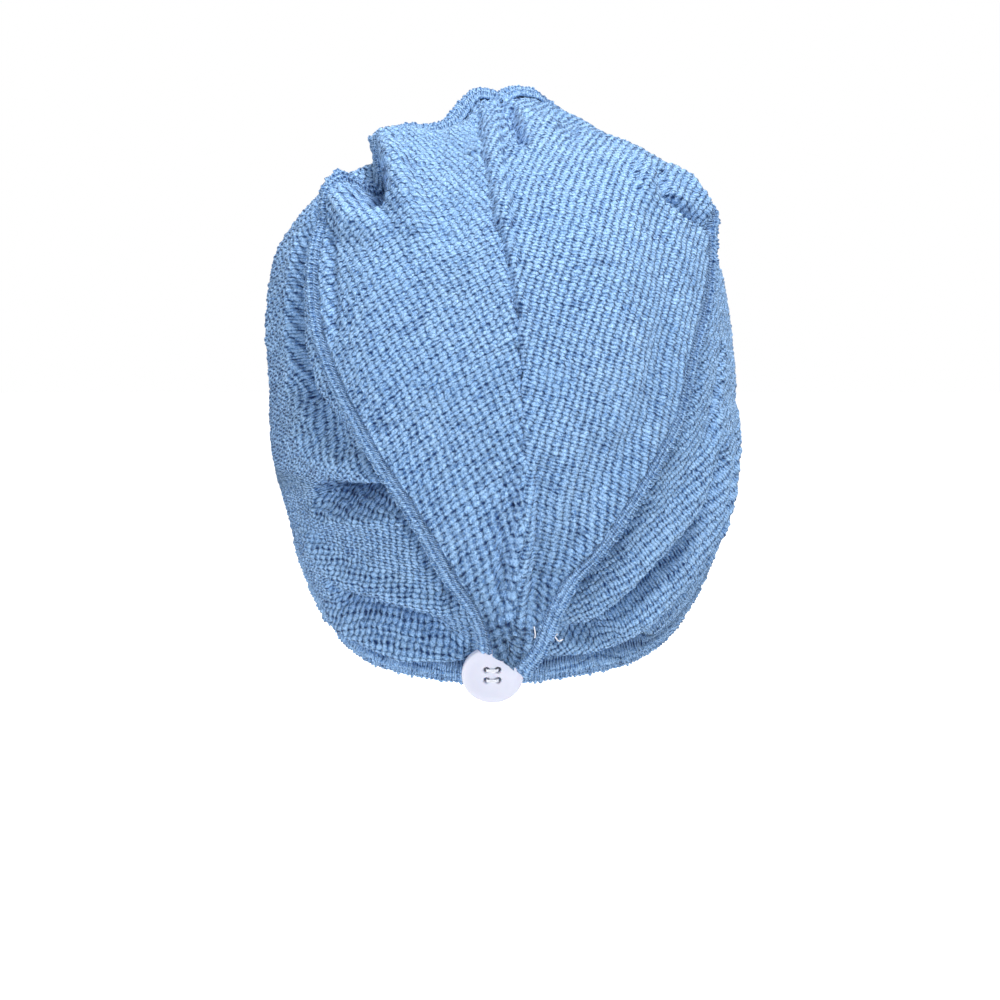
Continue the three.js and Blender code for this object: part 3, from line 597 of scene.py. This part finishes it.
brim_shares = stations((0, 0), (1, 18))
brim_turns = stations((0, 0), (110, 264), (180, 120))
for sign, name in ((-1, "left"), (1, "right")):
    share = brim_shares[:, None]
    turn = sign * brim_turns[None, :]
    drop = edge_drop(turn) - (1 - share) * (brim_height - sewn_gap)
    direction = direction_by_turn(turn, down_at_drop(turn, drop))
    smooth = on_hood(direction)
    middle = hood_lift(sign, smooth) - cloth_wall / 2
    half = hem_thickness(brim_thickness, share) / 2
    stitched = np.clip(1.3 - np.abs(share - 0.16) / 0.08, 0, 1)
    crease = np.exp(-(((share - 0.66) / 0.06) ** 2))
    outer = on_hood(direction, middle + half - stitch_sink * stitched - crease_depth * crease)
    outer, cloth = hem_face(outer, share, brim_height, length_along(smooth, 1), stitched)
    inner = on_hood(direction, middle - half)
    seam = np.array([sign * sewn_gap / 2, 0, 0])
    outer[:, 0, 0] = 0
    brim = cloth_shell(f"brim_band_{name}", outer + seam, inner + seam, cloth, hem)
    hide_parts(f"brim_{name}")
    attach(brim, "root")

# Twist. The long front end of the towel is wound on itself over the forehead, so its cloth lies in
# tight spiral folds that open out again over the crown.
twist_half_width = 28
twist_thickness = 20
twist_lobes = 3
twist_lobe_depth = 0.15
twist_turn = 250
twist_clearance = 0.5
twist_length = 92
tail_tip_from_edge = 18.4
tail_tip_rise = 90 - float(down_at_drop(0, nape_drop - tail_tip_from_edge))
tail_first_rise = -46
twist_rows = {
    "rise": [112, 120, 129, 139, 148, 158, 165],
    "side": [1, 1, 1, 0.5, 0, 0, 0],
    "width": [0.6, 0.7, 0.9, 0.95, 0.85, 0.66, 0.45],
    "height": [0.54, 0.66, 0.86, 0.82, 0.66, 0.46, 0.25],
}


def direction_by_rise(rise, side):
    """Direction by the angle round the side axis, from level behind to level in front"""
    rise, side = np.broadcast_arrays(np.asarray(rise, float), np.asarray(side, float))
    turned = np.radians(np.where(rise < 0, rise * tail_tip_rise / tail_first_rise, rise))
    side = np.radians(side)
    return np.stack([np.sin(side), -np.cos(side) * np.cos(turned), np.cos(side) * np.sin(turned)], -1)


def side_angle(rise, side, width):
    return np.degrees(width / hood_radius(direction_by_rise(rise, side)))


def tube_faces(count, sides):
    """Faces round a row of rings of points, closed at both ends"""
    ring = np.arange(count * sides).reshape(-1, sides)
    after = np.roll(ring, -1, axis=1)
    faces = np.stack([ring[:-1], after[:-1], after[1:], ring[1:]], -1).reshape(-1, 4).tolist()
    return faces + [tuple(ring[0][::-1].tolist()), tuple(ring[-1].tolist())]


rises = stations((112, 0), (165, 168))[:, None]
around = np.linspace(0, 2 * np.pi, 150, endpoint=False)[None, :]
progress = (rises - rises[0]) / (rises[-1] - rises[0])
wind = np.radians(twist_turn) * progress
lobes = twist_lobes * (around - wind)
lobe = 1 + twist_lobe_depth * (np.cos(lobes) - np.maximum(-np.cos(lobes), 0) ** 4)
lobe += 0.03 * np.cos(2 * lobes + 1.1) + 0.02 * np.cos(5 * lobes + 0.4)
half_width = twist_half_width * read_table(twist_rows, "width", rises)
height = twist_thickness * read_table(twist_rows, "height", rises)
across = half_width * lobe * np.cos(around)
lift = height / 2 + height / 2 * lobe * np.sin(around)
middle = read_table(twist_rows, "side", rises)
direction = direction_by_rise(rises, middle + side_angle(rises, middle, across))
smooth = on_hood(direction)
under = np.where(smooth[..., 0] < 0, hood_lift(-1, smooth), hood_lift(1, smooth))
roll = on_hood(direction, np.maximum(under, 0) + np.maximum(lift, 0) + twist_clearance)
cloth = laid_cloth((around - wind) * twist_half_width, progress * twist_length, 0)
wrapped = np.concatenate([roll[:, -1:], roll, roll[:, :1]], axis=1)
normals = grid_normals(wrapped)[:, 1:-1]
on_top = np.clip(lift / 3, 0, 1)
roll = roll + normals * (tuft_height * (tuft_relief(cloth) - 0.45) * on_top)[..., None]
faces = tube_faces(*roll.shape[:2])
twist = finish_mesh("twist_cloth", roll.reshape(-1, 3), cloth.reshape(-1, 3), faces, towel)
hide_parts("front_twist")
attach(twist, "root")

# Tail. The two panels of the towel's long end, sewn together along the middle of the back. They lie
# over the crown and hood, widest at the ears' level, and narrow to a tip at the nape.
tail_stand_off = 26
tail_hem_width = 5.4
tail_hem_thickness = 3.8
tail_edge_roundness = 2.2
tail_tip_slant = 3
tail_slant_reach = 12
seam_dip = 3.6
seam_reach = 3
seam_wobble = 0.7
over_hood = 0.9
tail_round_up = 100
tail_round_across = 98
row_crowding = 0.0016
left_tail_angle = 27
right_tail_angle = -14
tail_rows = {
    "rise": [-46, -42, -36, -29, -22, -14, -6, 3, 12, 22, 34, 44, 54, 64, 74, 84, 92, 100, 108, 116, 124],
    "left": [
        -4, -4.6, -8, -12.7, -17.3, -23.6, -29.4, -34.8, -38, -39.7, -39.2,
        -37, -33, -29.5, -27.5, -27.2, -27.4, -27, -25, -23, -21,
    ],
    "seam": [
        0.6, 1.6, 2.6, 3.5, 4.2, 4.6, 4, 3.9, 3.2, 1.9, -0.7,
        -2.4, -3.6, -4.2, -4.6, -4.8, -4.5, -3, -1, 1, 3,
    ],
    "right": [
        4.6, 7.3, 11.5, 19.8, 26.2, 33, 38.4, 41.2, 44, 47.6, 49.6,
        49.4, 48.8, 48.5, 46, 41, 36, 31, 27, 25, 23,
    ],
    "left_loft": [
        0.36, 0.34, 0.27, 0.25, 0.27, 0.27, 0.2, 0.18, 0.2, 0.2, 0.18,
        0.15, 0.2, 0.26, 0.28, 0.28, 0.26, 0.2, 0.16, 0.15, 0.15,
    ],
    "seam_loft": [
        0.36, 0.34, 0.25, 0.14, 0.1, 0.08, 0.08, 0.08, 0.08, 0.08, 0.1,
        0.14, 0.18, 0.24, 0.32, 0.4, 0.52, 0.66, 0.74, 0.76, 0.76,
    ],
    "right_loft": [
        0.36, 0.31, 0.2, 0.17, 0.14, 0.12, 0.12, 0.12, 0.12, 0.1, 0.08,
        0.1, 0.15, 0.17, 0.12, 0.08, 0.08, 0.1, 0.14, 0.16, 0.16,
    ],
}
tail_folds = [
    ([(94, 1), (84, 2), (66, 6)], 0.75, 0.5),
    ([(110, 6), (101, 0)], 0.8, 0.5),
    ([(62, -22), (50, -19.5), (36, -16.5)], 0.4, 0.7, 0.25),
    ([(74, -23.5), (64, -23)], 0.4, 0.25),
    ([(70, -29), (59, -27.5), (51, -26), (46, -25.5)], 0.45, -1.7),
    ([(104, -26), (88, -26), (78, -25)], 0.7, -0.35),
    ([(54, -33), (46, -32.5), (39, -29), (36, -24)], 0.42, 0.55),
    ([(84, -14), (72, -13), (56, -12), (34, -10)], 0.55, -0.45),
    ([(83, -18), (85, -12), (88, -6)], 0.3, -0.75),
    ([(112, -14), (98, -15), (86, -13)], 0.9, -0.65),
    ([(-14, 4.7), (-28, 3.8), (-40, 2)], 0.26, 0.4),
    ([(-14, 2), (-28, 0.8), (-38, 0)], 0.2, -0.35),
    ([(-14, 8), (-26, 7.5), (-38, 5)], 0.25, -0.35),
    ([(-12, 19), (-26, 13), (-38, 6)], 0.45, -0.3),
    ([(86, -1), (72, -1.5), (60, -1), (40, 1), (12, 5)], 0.3, 0.4, 0.55),
    ([(80, -7), (64, -8), (40, -5)], 0.3, -0.25),
    ([(82, 2), (72, 3), (62, 5)], 0.16, -0.6),
    ([(78, 9), (66, 10)], 0.25, 0.3),
    ([(80, 14), (66, 15)], 0.2, -0.25),
    ([(60, 28), (54, 28.5), (47, 29)], 0.3, 0.5, -0.3),
    ([(61, 32.5), (52, 33), (51, 38), (54, 45)], 0.24, -0.7),
    ([(70, 38), (64, 41), (58, 46)], 0.35, 0.3),
    ([(44, 31), (34, 33), (20, 34)], 0.35, -0.25),
    ([(44, -33), (30, -33.5), (14, -33)], 0.16, -0.3),
    ([(30, -24), (10, -26), (-6, -21)], 0.7, 0.2),
    ([(40, 20), (20, 24), (0, 22)], 0.9, 0.15),
    ([(14, 33), (0, 30), (-14, 23)], 0.35, -0.3),
]


def hood_rise_point(rise, side):
    return on_hood(direction_by_rise(rise, side))


tail_folds = place_folds(tail_folds, hood_rise_point)


def tail_loft(rise, side):
    """Height of the tail's underside over the smooth hood"""
    seam = read_table(tail_rows, "seam", rise)
    on_left = side < seam

    def column(name):
        left = read_table(tail_rows, "left" + name, rise)
        return np.where(on_left, left, read_table(tail_rows, "right" + name, rise))

    share = np.minimum(np.abs((side - seam) / (column("") - seam)), 1)
    seam_loft = read_table(tail_rows, "seam_loft", rise)
    loft = seam_loft + (column("_loft") - seam_loft) * share**tail_edge_roundness
    smooth = hood_rise_point(rise, side)
    slack = 0.5 * soft_noise(smooth, 22, 21) + 0.25 * soft_noise(smooth, 8, 22)
    loft = loft * tail_stand_off + fold_lift(tail_folds, smooth) + slack
    hood_under = np.where(side < 0, hood_lift(-1, smooth), hood_lift(1, smooth))
    return np.maximum(loft, hood_under + over_hood)


def tail_edge(name, rise, inward):
    edge = read_table(tail_rows, name, rise)
    sign = 1 if name == "left" else -1
    return edge + sign * side_angle(rise, edge, inward)


def on_tail(rise, side, lift):
    near_tip = np.maximum(0, 1 - (rise - tail_first_rise) / tail_slant_reach)
    slanted_rise = rise - tail_tip_slant * near_tip * side / tail_rows["right"][0]
    return on_hood(direction_by_rise(slanted_rise, side), tail_loft(rise, side) + lift)


tail_rises = stations((-46, 0), (124, 510))[:, None]
tail_shares = stations((0, 0), (1, 141))[None, :]
for sign, name in ((-1, "left"), (1, "right")):
    seam_side = read_table(tail_rows, "seam", tail_rises)
    seam_side = seam_side + seam_wobble * soft_noise(hood_rise_point(tail_rises, seam_side), 2.8, 41)
    near_seam = seam_side + sign * side_angle(tail_rises, seam_side, 0.03)
    far = tail_edge(name, tail_rises, tail_hem_width + sewn_gap)
    side = near_seam + (far - near_seam) * tail_shares
    radius = hood_radius(direction_by_rise(tail_rises, side))
    from_seam = np.radians(np.abs(side - near_seam)) * radius
    reach = seam_reach * (1.15 - 0.35 * sign)
    along_seam = (0.25 + 0.75 * blended(-8, 24, tail_rises)) * (1 - blended(78, 90, tail_rises))
    dip = seam_dip * np.maximum(0, 1 - from_seam / reach) ** 2 * along_seam
    smooth = hood_rise_point(tail_rises, side)
    up = np.radians(tail_rises - 30) * tail_round_up * np.cos(np.radians(side)) + wandering(smooth, 33)
    right = np.radians(side) * tail_round_across + wandering(smooth, 31)
    if sign < 0:
        cloth = laid_cloth(right, up + row_crowding * up**2, left_tail_angle)
        relief = tuft_height * (tuft_relief(cloth, 0.75) - 0.5)
    else:
        cloth = laid_cloth(right, up, right_tail_angle)
        relief = 0.8 * tuft_height * (tuft_relief(cloth, 0.1) - 0.65)
    relief = relief + loose_fibres(relief.shape, 60 + sign)
    outer = on_tail(tail_rises, side, cloth_wall - dip)
    outer = outer + grid_normals(outer) * relief[..., None]
    inner = on_tail(tail_rises, side, 0)
    tail = cloth_shell(f"tail_cloth_{name}", outer, inner, cloth, towel)
    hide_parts(f"tail_{name}")
    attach(tail, "root")

# Tail hems. Each long edge of the tail is rolled over and overlocked, with the rolled loops outside
# and a ladder of fine thread inside. The loops cover the ladder on the upper left, and most of it on
# the lower right.
roll_height = 0.6
ladder_sink = 0.5
ladder_groove = 0.8
inner_groove = 0.35
hem_rises = stations((-46, 0), (124, 720))[:, None]
hem_shares = stations((0, 0), (1, 18))[None, :]
ladder_shown = {
    "left": 0.75 * (1 - blended(24, 44, hem_rises)),
    "right": 0.3 + 0.7 * blended(-16, 6, hem_rises),
}
for name in ("left", "right"):
    side = tail_edge(name, hem_rises, hem_shares * tail_hem_width)
    half = hem_thickness(tail_hem_thickness, hem_shares) / 2
    rolled = np.exp(-(((hem_shares - 0.32) / 0.3) ** 2))
    stitched = np.clip(1.4 - np.abs(hem_shares - 0.8) / 0.13, 0, 1) * ladder_shown[name]
    groove = np.exp(-(((hem_shares - 0.62) / 0.06) ** 2)) * ladder_shown[name]
    groove = ladder_groove * groove + inner_groove * np.exp(-(((hem_shares - 1) / 0.06) ** 2))
    lift = cloth_wall / 2 + half + roll_height * rolled - ladder_sink * stitched - groove
    outer = on_tail(hem_rises, side, lift)
    outer, cloth = hem_face(outer, hem_shares, tail_hem_width, length_along(outer), stitched)
    inner = on_tail(hem_rises, side, cloth_wall / 2 - half)
    edge = cloth_shell(f"tail_hem_band_{name}", outer, inner, cloth, hem)
    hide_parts(f"tail_hem_{name}")
    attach(edge, "root")

# Crest hem. Another stretch of the same overlocked edge, which the winding brings up over the crest
# and down the right of the twist.
crest_hem_clearance = 0.8
crest_fullness = 1.2
crest_tilt = 1.8
crest_path = [(85, -24), (91, -13), (99, -2), (108, 8), (117, 16), (123, 19)]


def smooth_route(points, count):
    """Places and steps along a smooth curve that starts and ends at the first and last point"""
    points = np.array(points, float)
    held = np.concatenate([[2 * points[0] - points[1]], points, [2 * points[-1] - points[-2]]])
    at = np.linspace(0, len(points) - 1, count)
    piece = np.minimum(at.astype(int), len(points) - 2)
    t = (at - piece)[:, None]
    a, b, c, d = held[piece], held[piece + 1], held[piece + 2], held[piece + 3]
    place = 2 * b + (c - a) * t + (2 * a - 5 * b + 4 * c - d) * t**2
    place = 0.5 * (place + (3 * b - a - 3 * c + d) * t**3)
    step = np.gradient(place, axis=0)
    return place, step / np.linalg.norm(step, axis=1, keepdims=True)


crest_route, crest_step = smooth_route(crest_path, 241)
share = stations((0, 0), (1, 18))[None, :]
turned = np.degrees((share - 0.5) * tail_hem_width / hood_top)
rise = crest_route[:, :1] - crest_step[:, 1:] * turned
side = crest_route[:, 1:] + crest_step[:, :1] * turned
stitched = np.clip(1.4 - np.abs(share - 0.75) / 0.1, 0, 1)
lift = cloth_wall + crest_hem_clearance + crest_fullness * hem_thickness(cloth_wall, share)
outer = on_tail(rise, side, lift + crest_tilt * (1 - share) - ladder_sink * stitched)
outer, cloth = hem_face(outer, share, tail_hem_width, length_along(outer), stitched)
inner = on_tail(rise, side, cloth_wall + crest_hem_clearance)
crest = cloth_shell("crest_hem_band", outer, inner, cloth, hem)
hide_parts("crest_hem")
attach(crest, "root")

# Button. A polished white plastic button with a raised rim, a shallow dish and four holes, sewn on
# just above the nape's edge. It faces down and back, as the cloth does there.
button_radius = 11.2
button_thickness = 3.6
button_rim_width = 2.2
button_dish = 0.9
button_hole_radius = 1.05
button_hole_pitch = 4.2
button_from_edge = 6.5
button_turn = -2.2
button_stand_off = 3.6
seat_step = 2


def unit(vector):
    return vector / np.linalg.norm(vector)


button_down = down_at_drop(button_turn, nape_drop - button_from_edge)
button_seat = on_hood(direction_by_turn(button_turn, button_down))
seat_across = on_hood(direction_by_turn(button_turn + seat_step, button_down)) - button_seat
seat_up = on_hood(direction_by_turn(button_turn, button_down - seat_step)) - button_seat
seat_facing = unit(np.cross(seat_across, seat_up))
seat_across = unit(seat_across)
seat_basis = np.stack([seat_across, np.cross(seat_facing, seat_across), seat_facing], -1)


def on_seat(points):
    """Points given from the button's seat, across, up and out, in the hood's own frame"""
    return button_seat + np.asarray(points, float) @ seat_basis.T


plastic, tree = new_material("Polished button plastic")
object_place = node(tree, "ShaderNodeTexCoord").outputs["Object"]
swirl = noise(tree, object_place, 180.0, 4.0)
scuffs = noise(tree, object_place, 1500.0, 5.0)
button_colour = colour_mix(tree, swirl, (0.6, 0.62, 0.74, 1), (0.68, 0.69, 0.8, 1))
scuff_bump = node(tree, "ShaderNodeBump", {"Height": scuffs, "Strength": 0.04, "Distance": 0.0002})
coat = {"Coat Weight": 0.3, "Coat Roughness": 0.08, "Subsurface Weight": 0.1, "Subsurface Scale": 0.002}
surface(tree, button_colour, scuff_bump, coat)
roughness = sum_of(tree, "MULTIPLY_ADD", scuffs, 0.16, 0.16)
tree.links.new(roughness, tree.nodes["Principled BSDF"].inputs["Roughness"])


def turned_profile(profile, sides):
    """Points and faces of a profile of radius and height pairs, turned once round"""
    angle = np.linspace(0, 2 * np.pi, sides, endpoint=False)
    radius, height = np.array(profile, float).T[..., None]
    points = np.stack([radius * np.cos(angle), radius * np.sin(angle), height + 0 * angle], -1)
    return points.reshape(-1, 3), tube_faces(len(profile), sides)


def rounded(corners, steps=6):
    """Profile whose corners, given with a radius each, are rounded"""
    made = []
    for i, (x, y, radius) in enumerate(corners):
        here = np.array([x, y], float)
        if radius == 0:
            made.append(here)
            continue
        before = here + radius * unit(np.array(corners[i - 1][:2], float) - here)
        behind = here + radius * unit(np.array(corners[i + 1][:2], float) - here)
        for t in np.linspace(0, 1, steps + 1):
            made.append((1 - t) ** 2 * before + 2 * t * (1 - t) * here + t**2 * behind)
    return made


rim_inside = button_radius - button_rim_width
dish_floor = button_thickness - button_dish
profile = rounded(
    [
        (0.02, 0, 0),
        (button_radius, 0, 1.3),
        (button_radius, button_thickness, 1.1),
        (rim_inside, button_thickness, 1.0),
        (rim_inside - 3.6, dish_floor + 0.06, 2.2),
        (0.02, dish_floor, 0),
    ]
)
points, faces = turned_profile(profile, 128)
button = finish_mesh("button_disc", on_seat(points + [0, 0, button_stand_off]), None, faces, plastic)
hole_profile = [
    (button_hole_radius + 0.9, -0.6),
    (button_hole_radius + 0.25, 0.15),
    (button_hole_radius, 0.5),
    (button_hole_radius, dish_floor - 0.5),
    (button_hole_radius + 0.25, dish_floor - 0.12),
    (button_hole_radius + 0.9, dish_floor + 0.6),
]
for x in (-0.5, 0.5):
    for y in (-0.5, 0.5):
        points, faces = turned_profile(hole_profile, 32)
        points = points + [x * button_hole_pitch, y * button_hole_pitch, button_stand_off]
        drill = finish_mesh("drill", on_seat(points), None, faces, plastic)
        cut = button.modifiers.new("hole", "BOOLEAN")
        cut.object = drill
        cut.solver = "EXACT"
        with bpy.context.temp_override(object=button, active_object=button, selected_objects=[button]):
            bpy.ops.object.modifier_apply(modifier=cut.name)
        bpy.data.objects.remove(drill)
button.data.shade_smooth()
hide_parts("button")
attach(button, "root")

# Sewing thread. White doubled thread crosses the dish from hole to hole and is wound into a short
# shank behind the button.
thread_radius = 0.34
shank_radius = 1.9
shank_length = button_stand_off - 3 * sewn_gap

thread_white, tree = new_material("White sewing thread")
strand_place = node(tree, "ShaderNodeAttribute", attribute_name="cloth").outputs["Vector"]
plies = {"Vector": strand_place, "Scale": 0.9, "Distortion": 0.4}
ply = node(tree, "ShaderNodeTexWave", plies, bands_direction="DIAGONAL").outputs["Fac"]
thread_colour = colour_mix(tree, ply, (0.72, 0.75, 0.83, 1), (0.92, 0.93, 0.97, 1))
ply_bump = node(tree, "ShaderNodeBump", {"Height": ply, "Strength": 0.5, "Distance": 0.0002})
surface(tree, thread_colour, ply_bump, {"Roughness": 0.6, "Sheen Weight": 0.2})


def strand(route, radius, sides=10):
    """Points, cloth places and faces of one closed strand round a route of points"""
    route = np.asarray(route, float)
    step = np.gradient(route, axis=0)
    step /= np.linalg.norm(step, axis=1, keepdims=True)
    up = np.zeros_like(route)
    guide = np.eye(3)[2 if abs(step[0][2]) < 0.9 else 0]
    for i, way in enumerate(step):
        guide = unit(guide - way * (guide @ way))
        up[i] = guide
    across = np.cross(step, up)
    angle = np.linspace(0, 2 * np.pi, sides, endpoint=False)
    ends = np.ones(len(route))
    ends[[0, -1]] = 0.6
    ring = across[:, None] * np.cos(angle)[:, None] + up[:, None] * np.sin(angle)[:, None]
    points = route[:, None] + radius * ends[:, None, None] * ring
    cloth = np.stack(np.broadcast_arrays(angle * radius, length_along(route)[:, None], 0.0), -1)
    return points.reshape(-1, 3), cloth.reshape(-1, 3), tube_faces(len(route), sides)


def joined(strands):
    """One set of points, cloth places and faces from several strands"""
    points, cloth, faces, start = [], [], [], 0
    for more_points, more_cloth, more_faces in strands:
        points.append(more_points)
        cloth.append(more_cloth)
        faces += [tuple(start + i for i in face) for face in more_faces]
        start += len(more_points)
    return np.concatenate(points), np.concatenate(cloth), faces


ply_offset = 0.28
bridge_rise = 0.32
bridge_sink = 1.6
coil_radius = 1.55
coil_turns = 5
half_pitch = button_hole_pitch / 2
face_lift = button_stand_off + dish_floor
stitches = []
for y in (-half_pitch, half_pitch):
    for beside in (-ply_offset, ply_offset):
        bridge = []
        for x in np.linspace(-1, 1, 15):
            rise_over = bridge_rise * (1 - x**6) - bridge_sink * max(0, abs(x) - 0.86) / 0.14
            bridge.append((x * (half_pitch + 0.15), y + beside * (1.2 - 0.5 * abs(x)), face_lift + rise_over))
        stitches.append(strand(bridge, thread_radius))
coil = []
for t in np.linspace(0, 1, 160):
    angle = 2 * np.pi * coil_turns * t
    height = sewn_gap * 2 + 0.2 + t * (shank_length - 0.4)
    coil.append((coil_radius * np.cos(angle), coil_radius * np.sin(angle), height))
stitches.append(strand(coil, thread_radius))
points, cloth, faces = joined(stitches)
thread = finish_mesh("button_stitches", on_seat(points), cloth, faces, thread_white)
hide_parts("button_thread")
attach(thread, "root")

# Loose thread ends. Short ends of the white sewing thread, cut off long: two stand out of the tail's
# right edge just above its tip, and one out of the cloth beside it.
loose_end_radius = 0.24
thread_ends = []
for stops in (
    [(-39.6, 7.6, 2.4), (-39.7, 8.3, 3.4), (-40.2, 9, 3.6), (-40.1, 9.8, 2.8)],
    [(-40, 7.8, 2.6), (-39.9, 8.4, 3.2), (-39.6, 9, 3)],
    [(-39.5, 5.3, 2.8), (-40, 5.4, 3.5), (-40.6, 5.3, 3)],
):
    route = np.concatenate([on_tail(np.array([rise]), np.array([side]), lift) for rise, side, lift in stops])
    thread_ends.append(strand(smooth_route(route, 20)[0], loose_end_radius, 8))
points, cloth, faces = joined(thread_ends)
ends = finish_mesh("loose_thread_ends", points, cloth, faces, thread_white)
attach(ends, "root")

# Elastic loop. A thin covered elastic, sewn under the tail's tip and hooked round the button's shank.
loop_radius = 1
loop_half_width = 4.2
loop_length = 24
loop_rise = 4.2
turn_radius = shank_radius + sewn_gap + loop_radius
loop_lift = button_stand_off / 2
leg = []
for share in (1, 0.8, 0.55):
    raised = max(0, share - 0.5) * 2 * loop_rise
    across = turn_radius + (loop_half_width - turn_radius) * share
    leg.append((across, share * loop_length, loop_lift + raised))
bend = []
for angle in np.radians(np.linspace(180, 360, 7)):
    bend.append((turn_radius * math.cos(angle), turn_radius * math.sin(angle), loop_lift))
route = [(-x, y, z) for x, y, z in leg] + bend + leg[::-1]
points, cloth, faces = strand(smooth_route(route, 120)[0], loop_radius, 16)
elastic = finish_mesh("elastic_cord_loop", on_seat(points), cloth, faces, thread_white)
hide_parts("elastic_loop")
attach(elastic, "root")

# Studio. A pale seamless floor well under the hood, soft light from the upper right, the left and
# above, and the camera a little above the level of the hood's middle.
backdrop, tree = new_material("Pale floor")
grain = node(tree, "ShaderNodeTexNoise", {"Scale": 40.0, "Detail": 2.0}).outputs["Fac"]
pale = colour_mix(tree, grain, (0.93, 0.93, 0.935, 1), (0.95, 0.95, 0.955, 1))
shade = tree.nodes["Principled BSDF"].inputs
tree.links.new(pale, shade["Base Color"])
shade["Roughness"].default_value = 0.8
shade["Emission Color"].default_value = (1, 1, 1, 1)
seen = node(tree, "ShaderNodeLightPath").outputs["Is Camera Ray"]
tree.links.new(sum_of(tree, "MULTIPLY", seen, 0.8), shade["Emission Strength"])
floor_height = -0.3
floor_size = 6
square = ((-1, -1), (1, -1), (1, 1), (-1, 1))
corners = [(x * floor_size, y * floor_size, floor_height) for x, y in square]
floor_mesh = bpy.data.meshes.new("floor")
floor_mesh.from_pydata(corners, [], [(0, 1, 2, 3)])
floor_mesh.materials.append(backdrop)
floor = placed("floor", floor_mesh)

world = bpy.data.worlds.new("Studio")
world.use_nodes = True
tree = world.node_tree
sky = tree.nodes["Background"].inputs
sky["Color"].default_value = (1, 1, 1, 1)
seen = node(tree, "ShaderNodeLightPath").outputs["Is Camera Ray"]
tree.links.new(sum_of(tree, "MULTIPLY_ADD", seen, 0.6, 0.4), sky["Strength"])
bpy.context.scene.world = world
look_at = Vector((-0.0004, 0, -0.13))


def aimed(name, data, place):
    """Object at a place, turned to look at the hood"""
    made = placed(name, data)
    made.location = place
    made.rotation_euler = (look_at - made.location).to_track_quat("-Z", "Y").to_euler()
    return made


def soft_light(name, place, size, watts):
    lamp = bpy.data.lights.new(name, "AREA")
    lamp.energy = watts
    lamp.size = size
    aimed(name, lamp, place)


soft_light("key_light", (0.45, -0.85, 1.35), 0.5, 24.5)
soft_light("fill_light", (-1.2, -1.1, 0.5), 1.0, 10)
soft_light("top_light", (0.1, 0.2, 1.6), 1.0, 22)

camera_data = bpy.data.cameras.new("camera")
camera_data.lens = 110.8
camera_data.sensor_width = 36
camera_data.clip_start = 0.01
camera_height = math.radians(4)
camera_distance = 1.2
camera_back = (0, -camera_distance * math.cos(camera_height), camera_distance * math.sin(camera_height))
bpy.context.scene.camera = aimed("camera", camera_data, look_at + Vector(camera_back))
bpy.context.scene.view_settings.view_transform = "Standard"
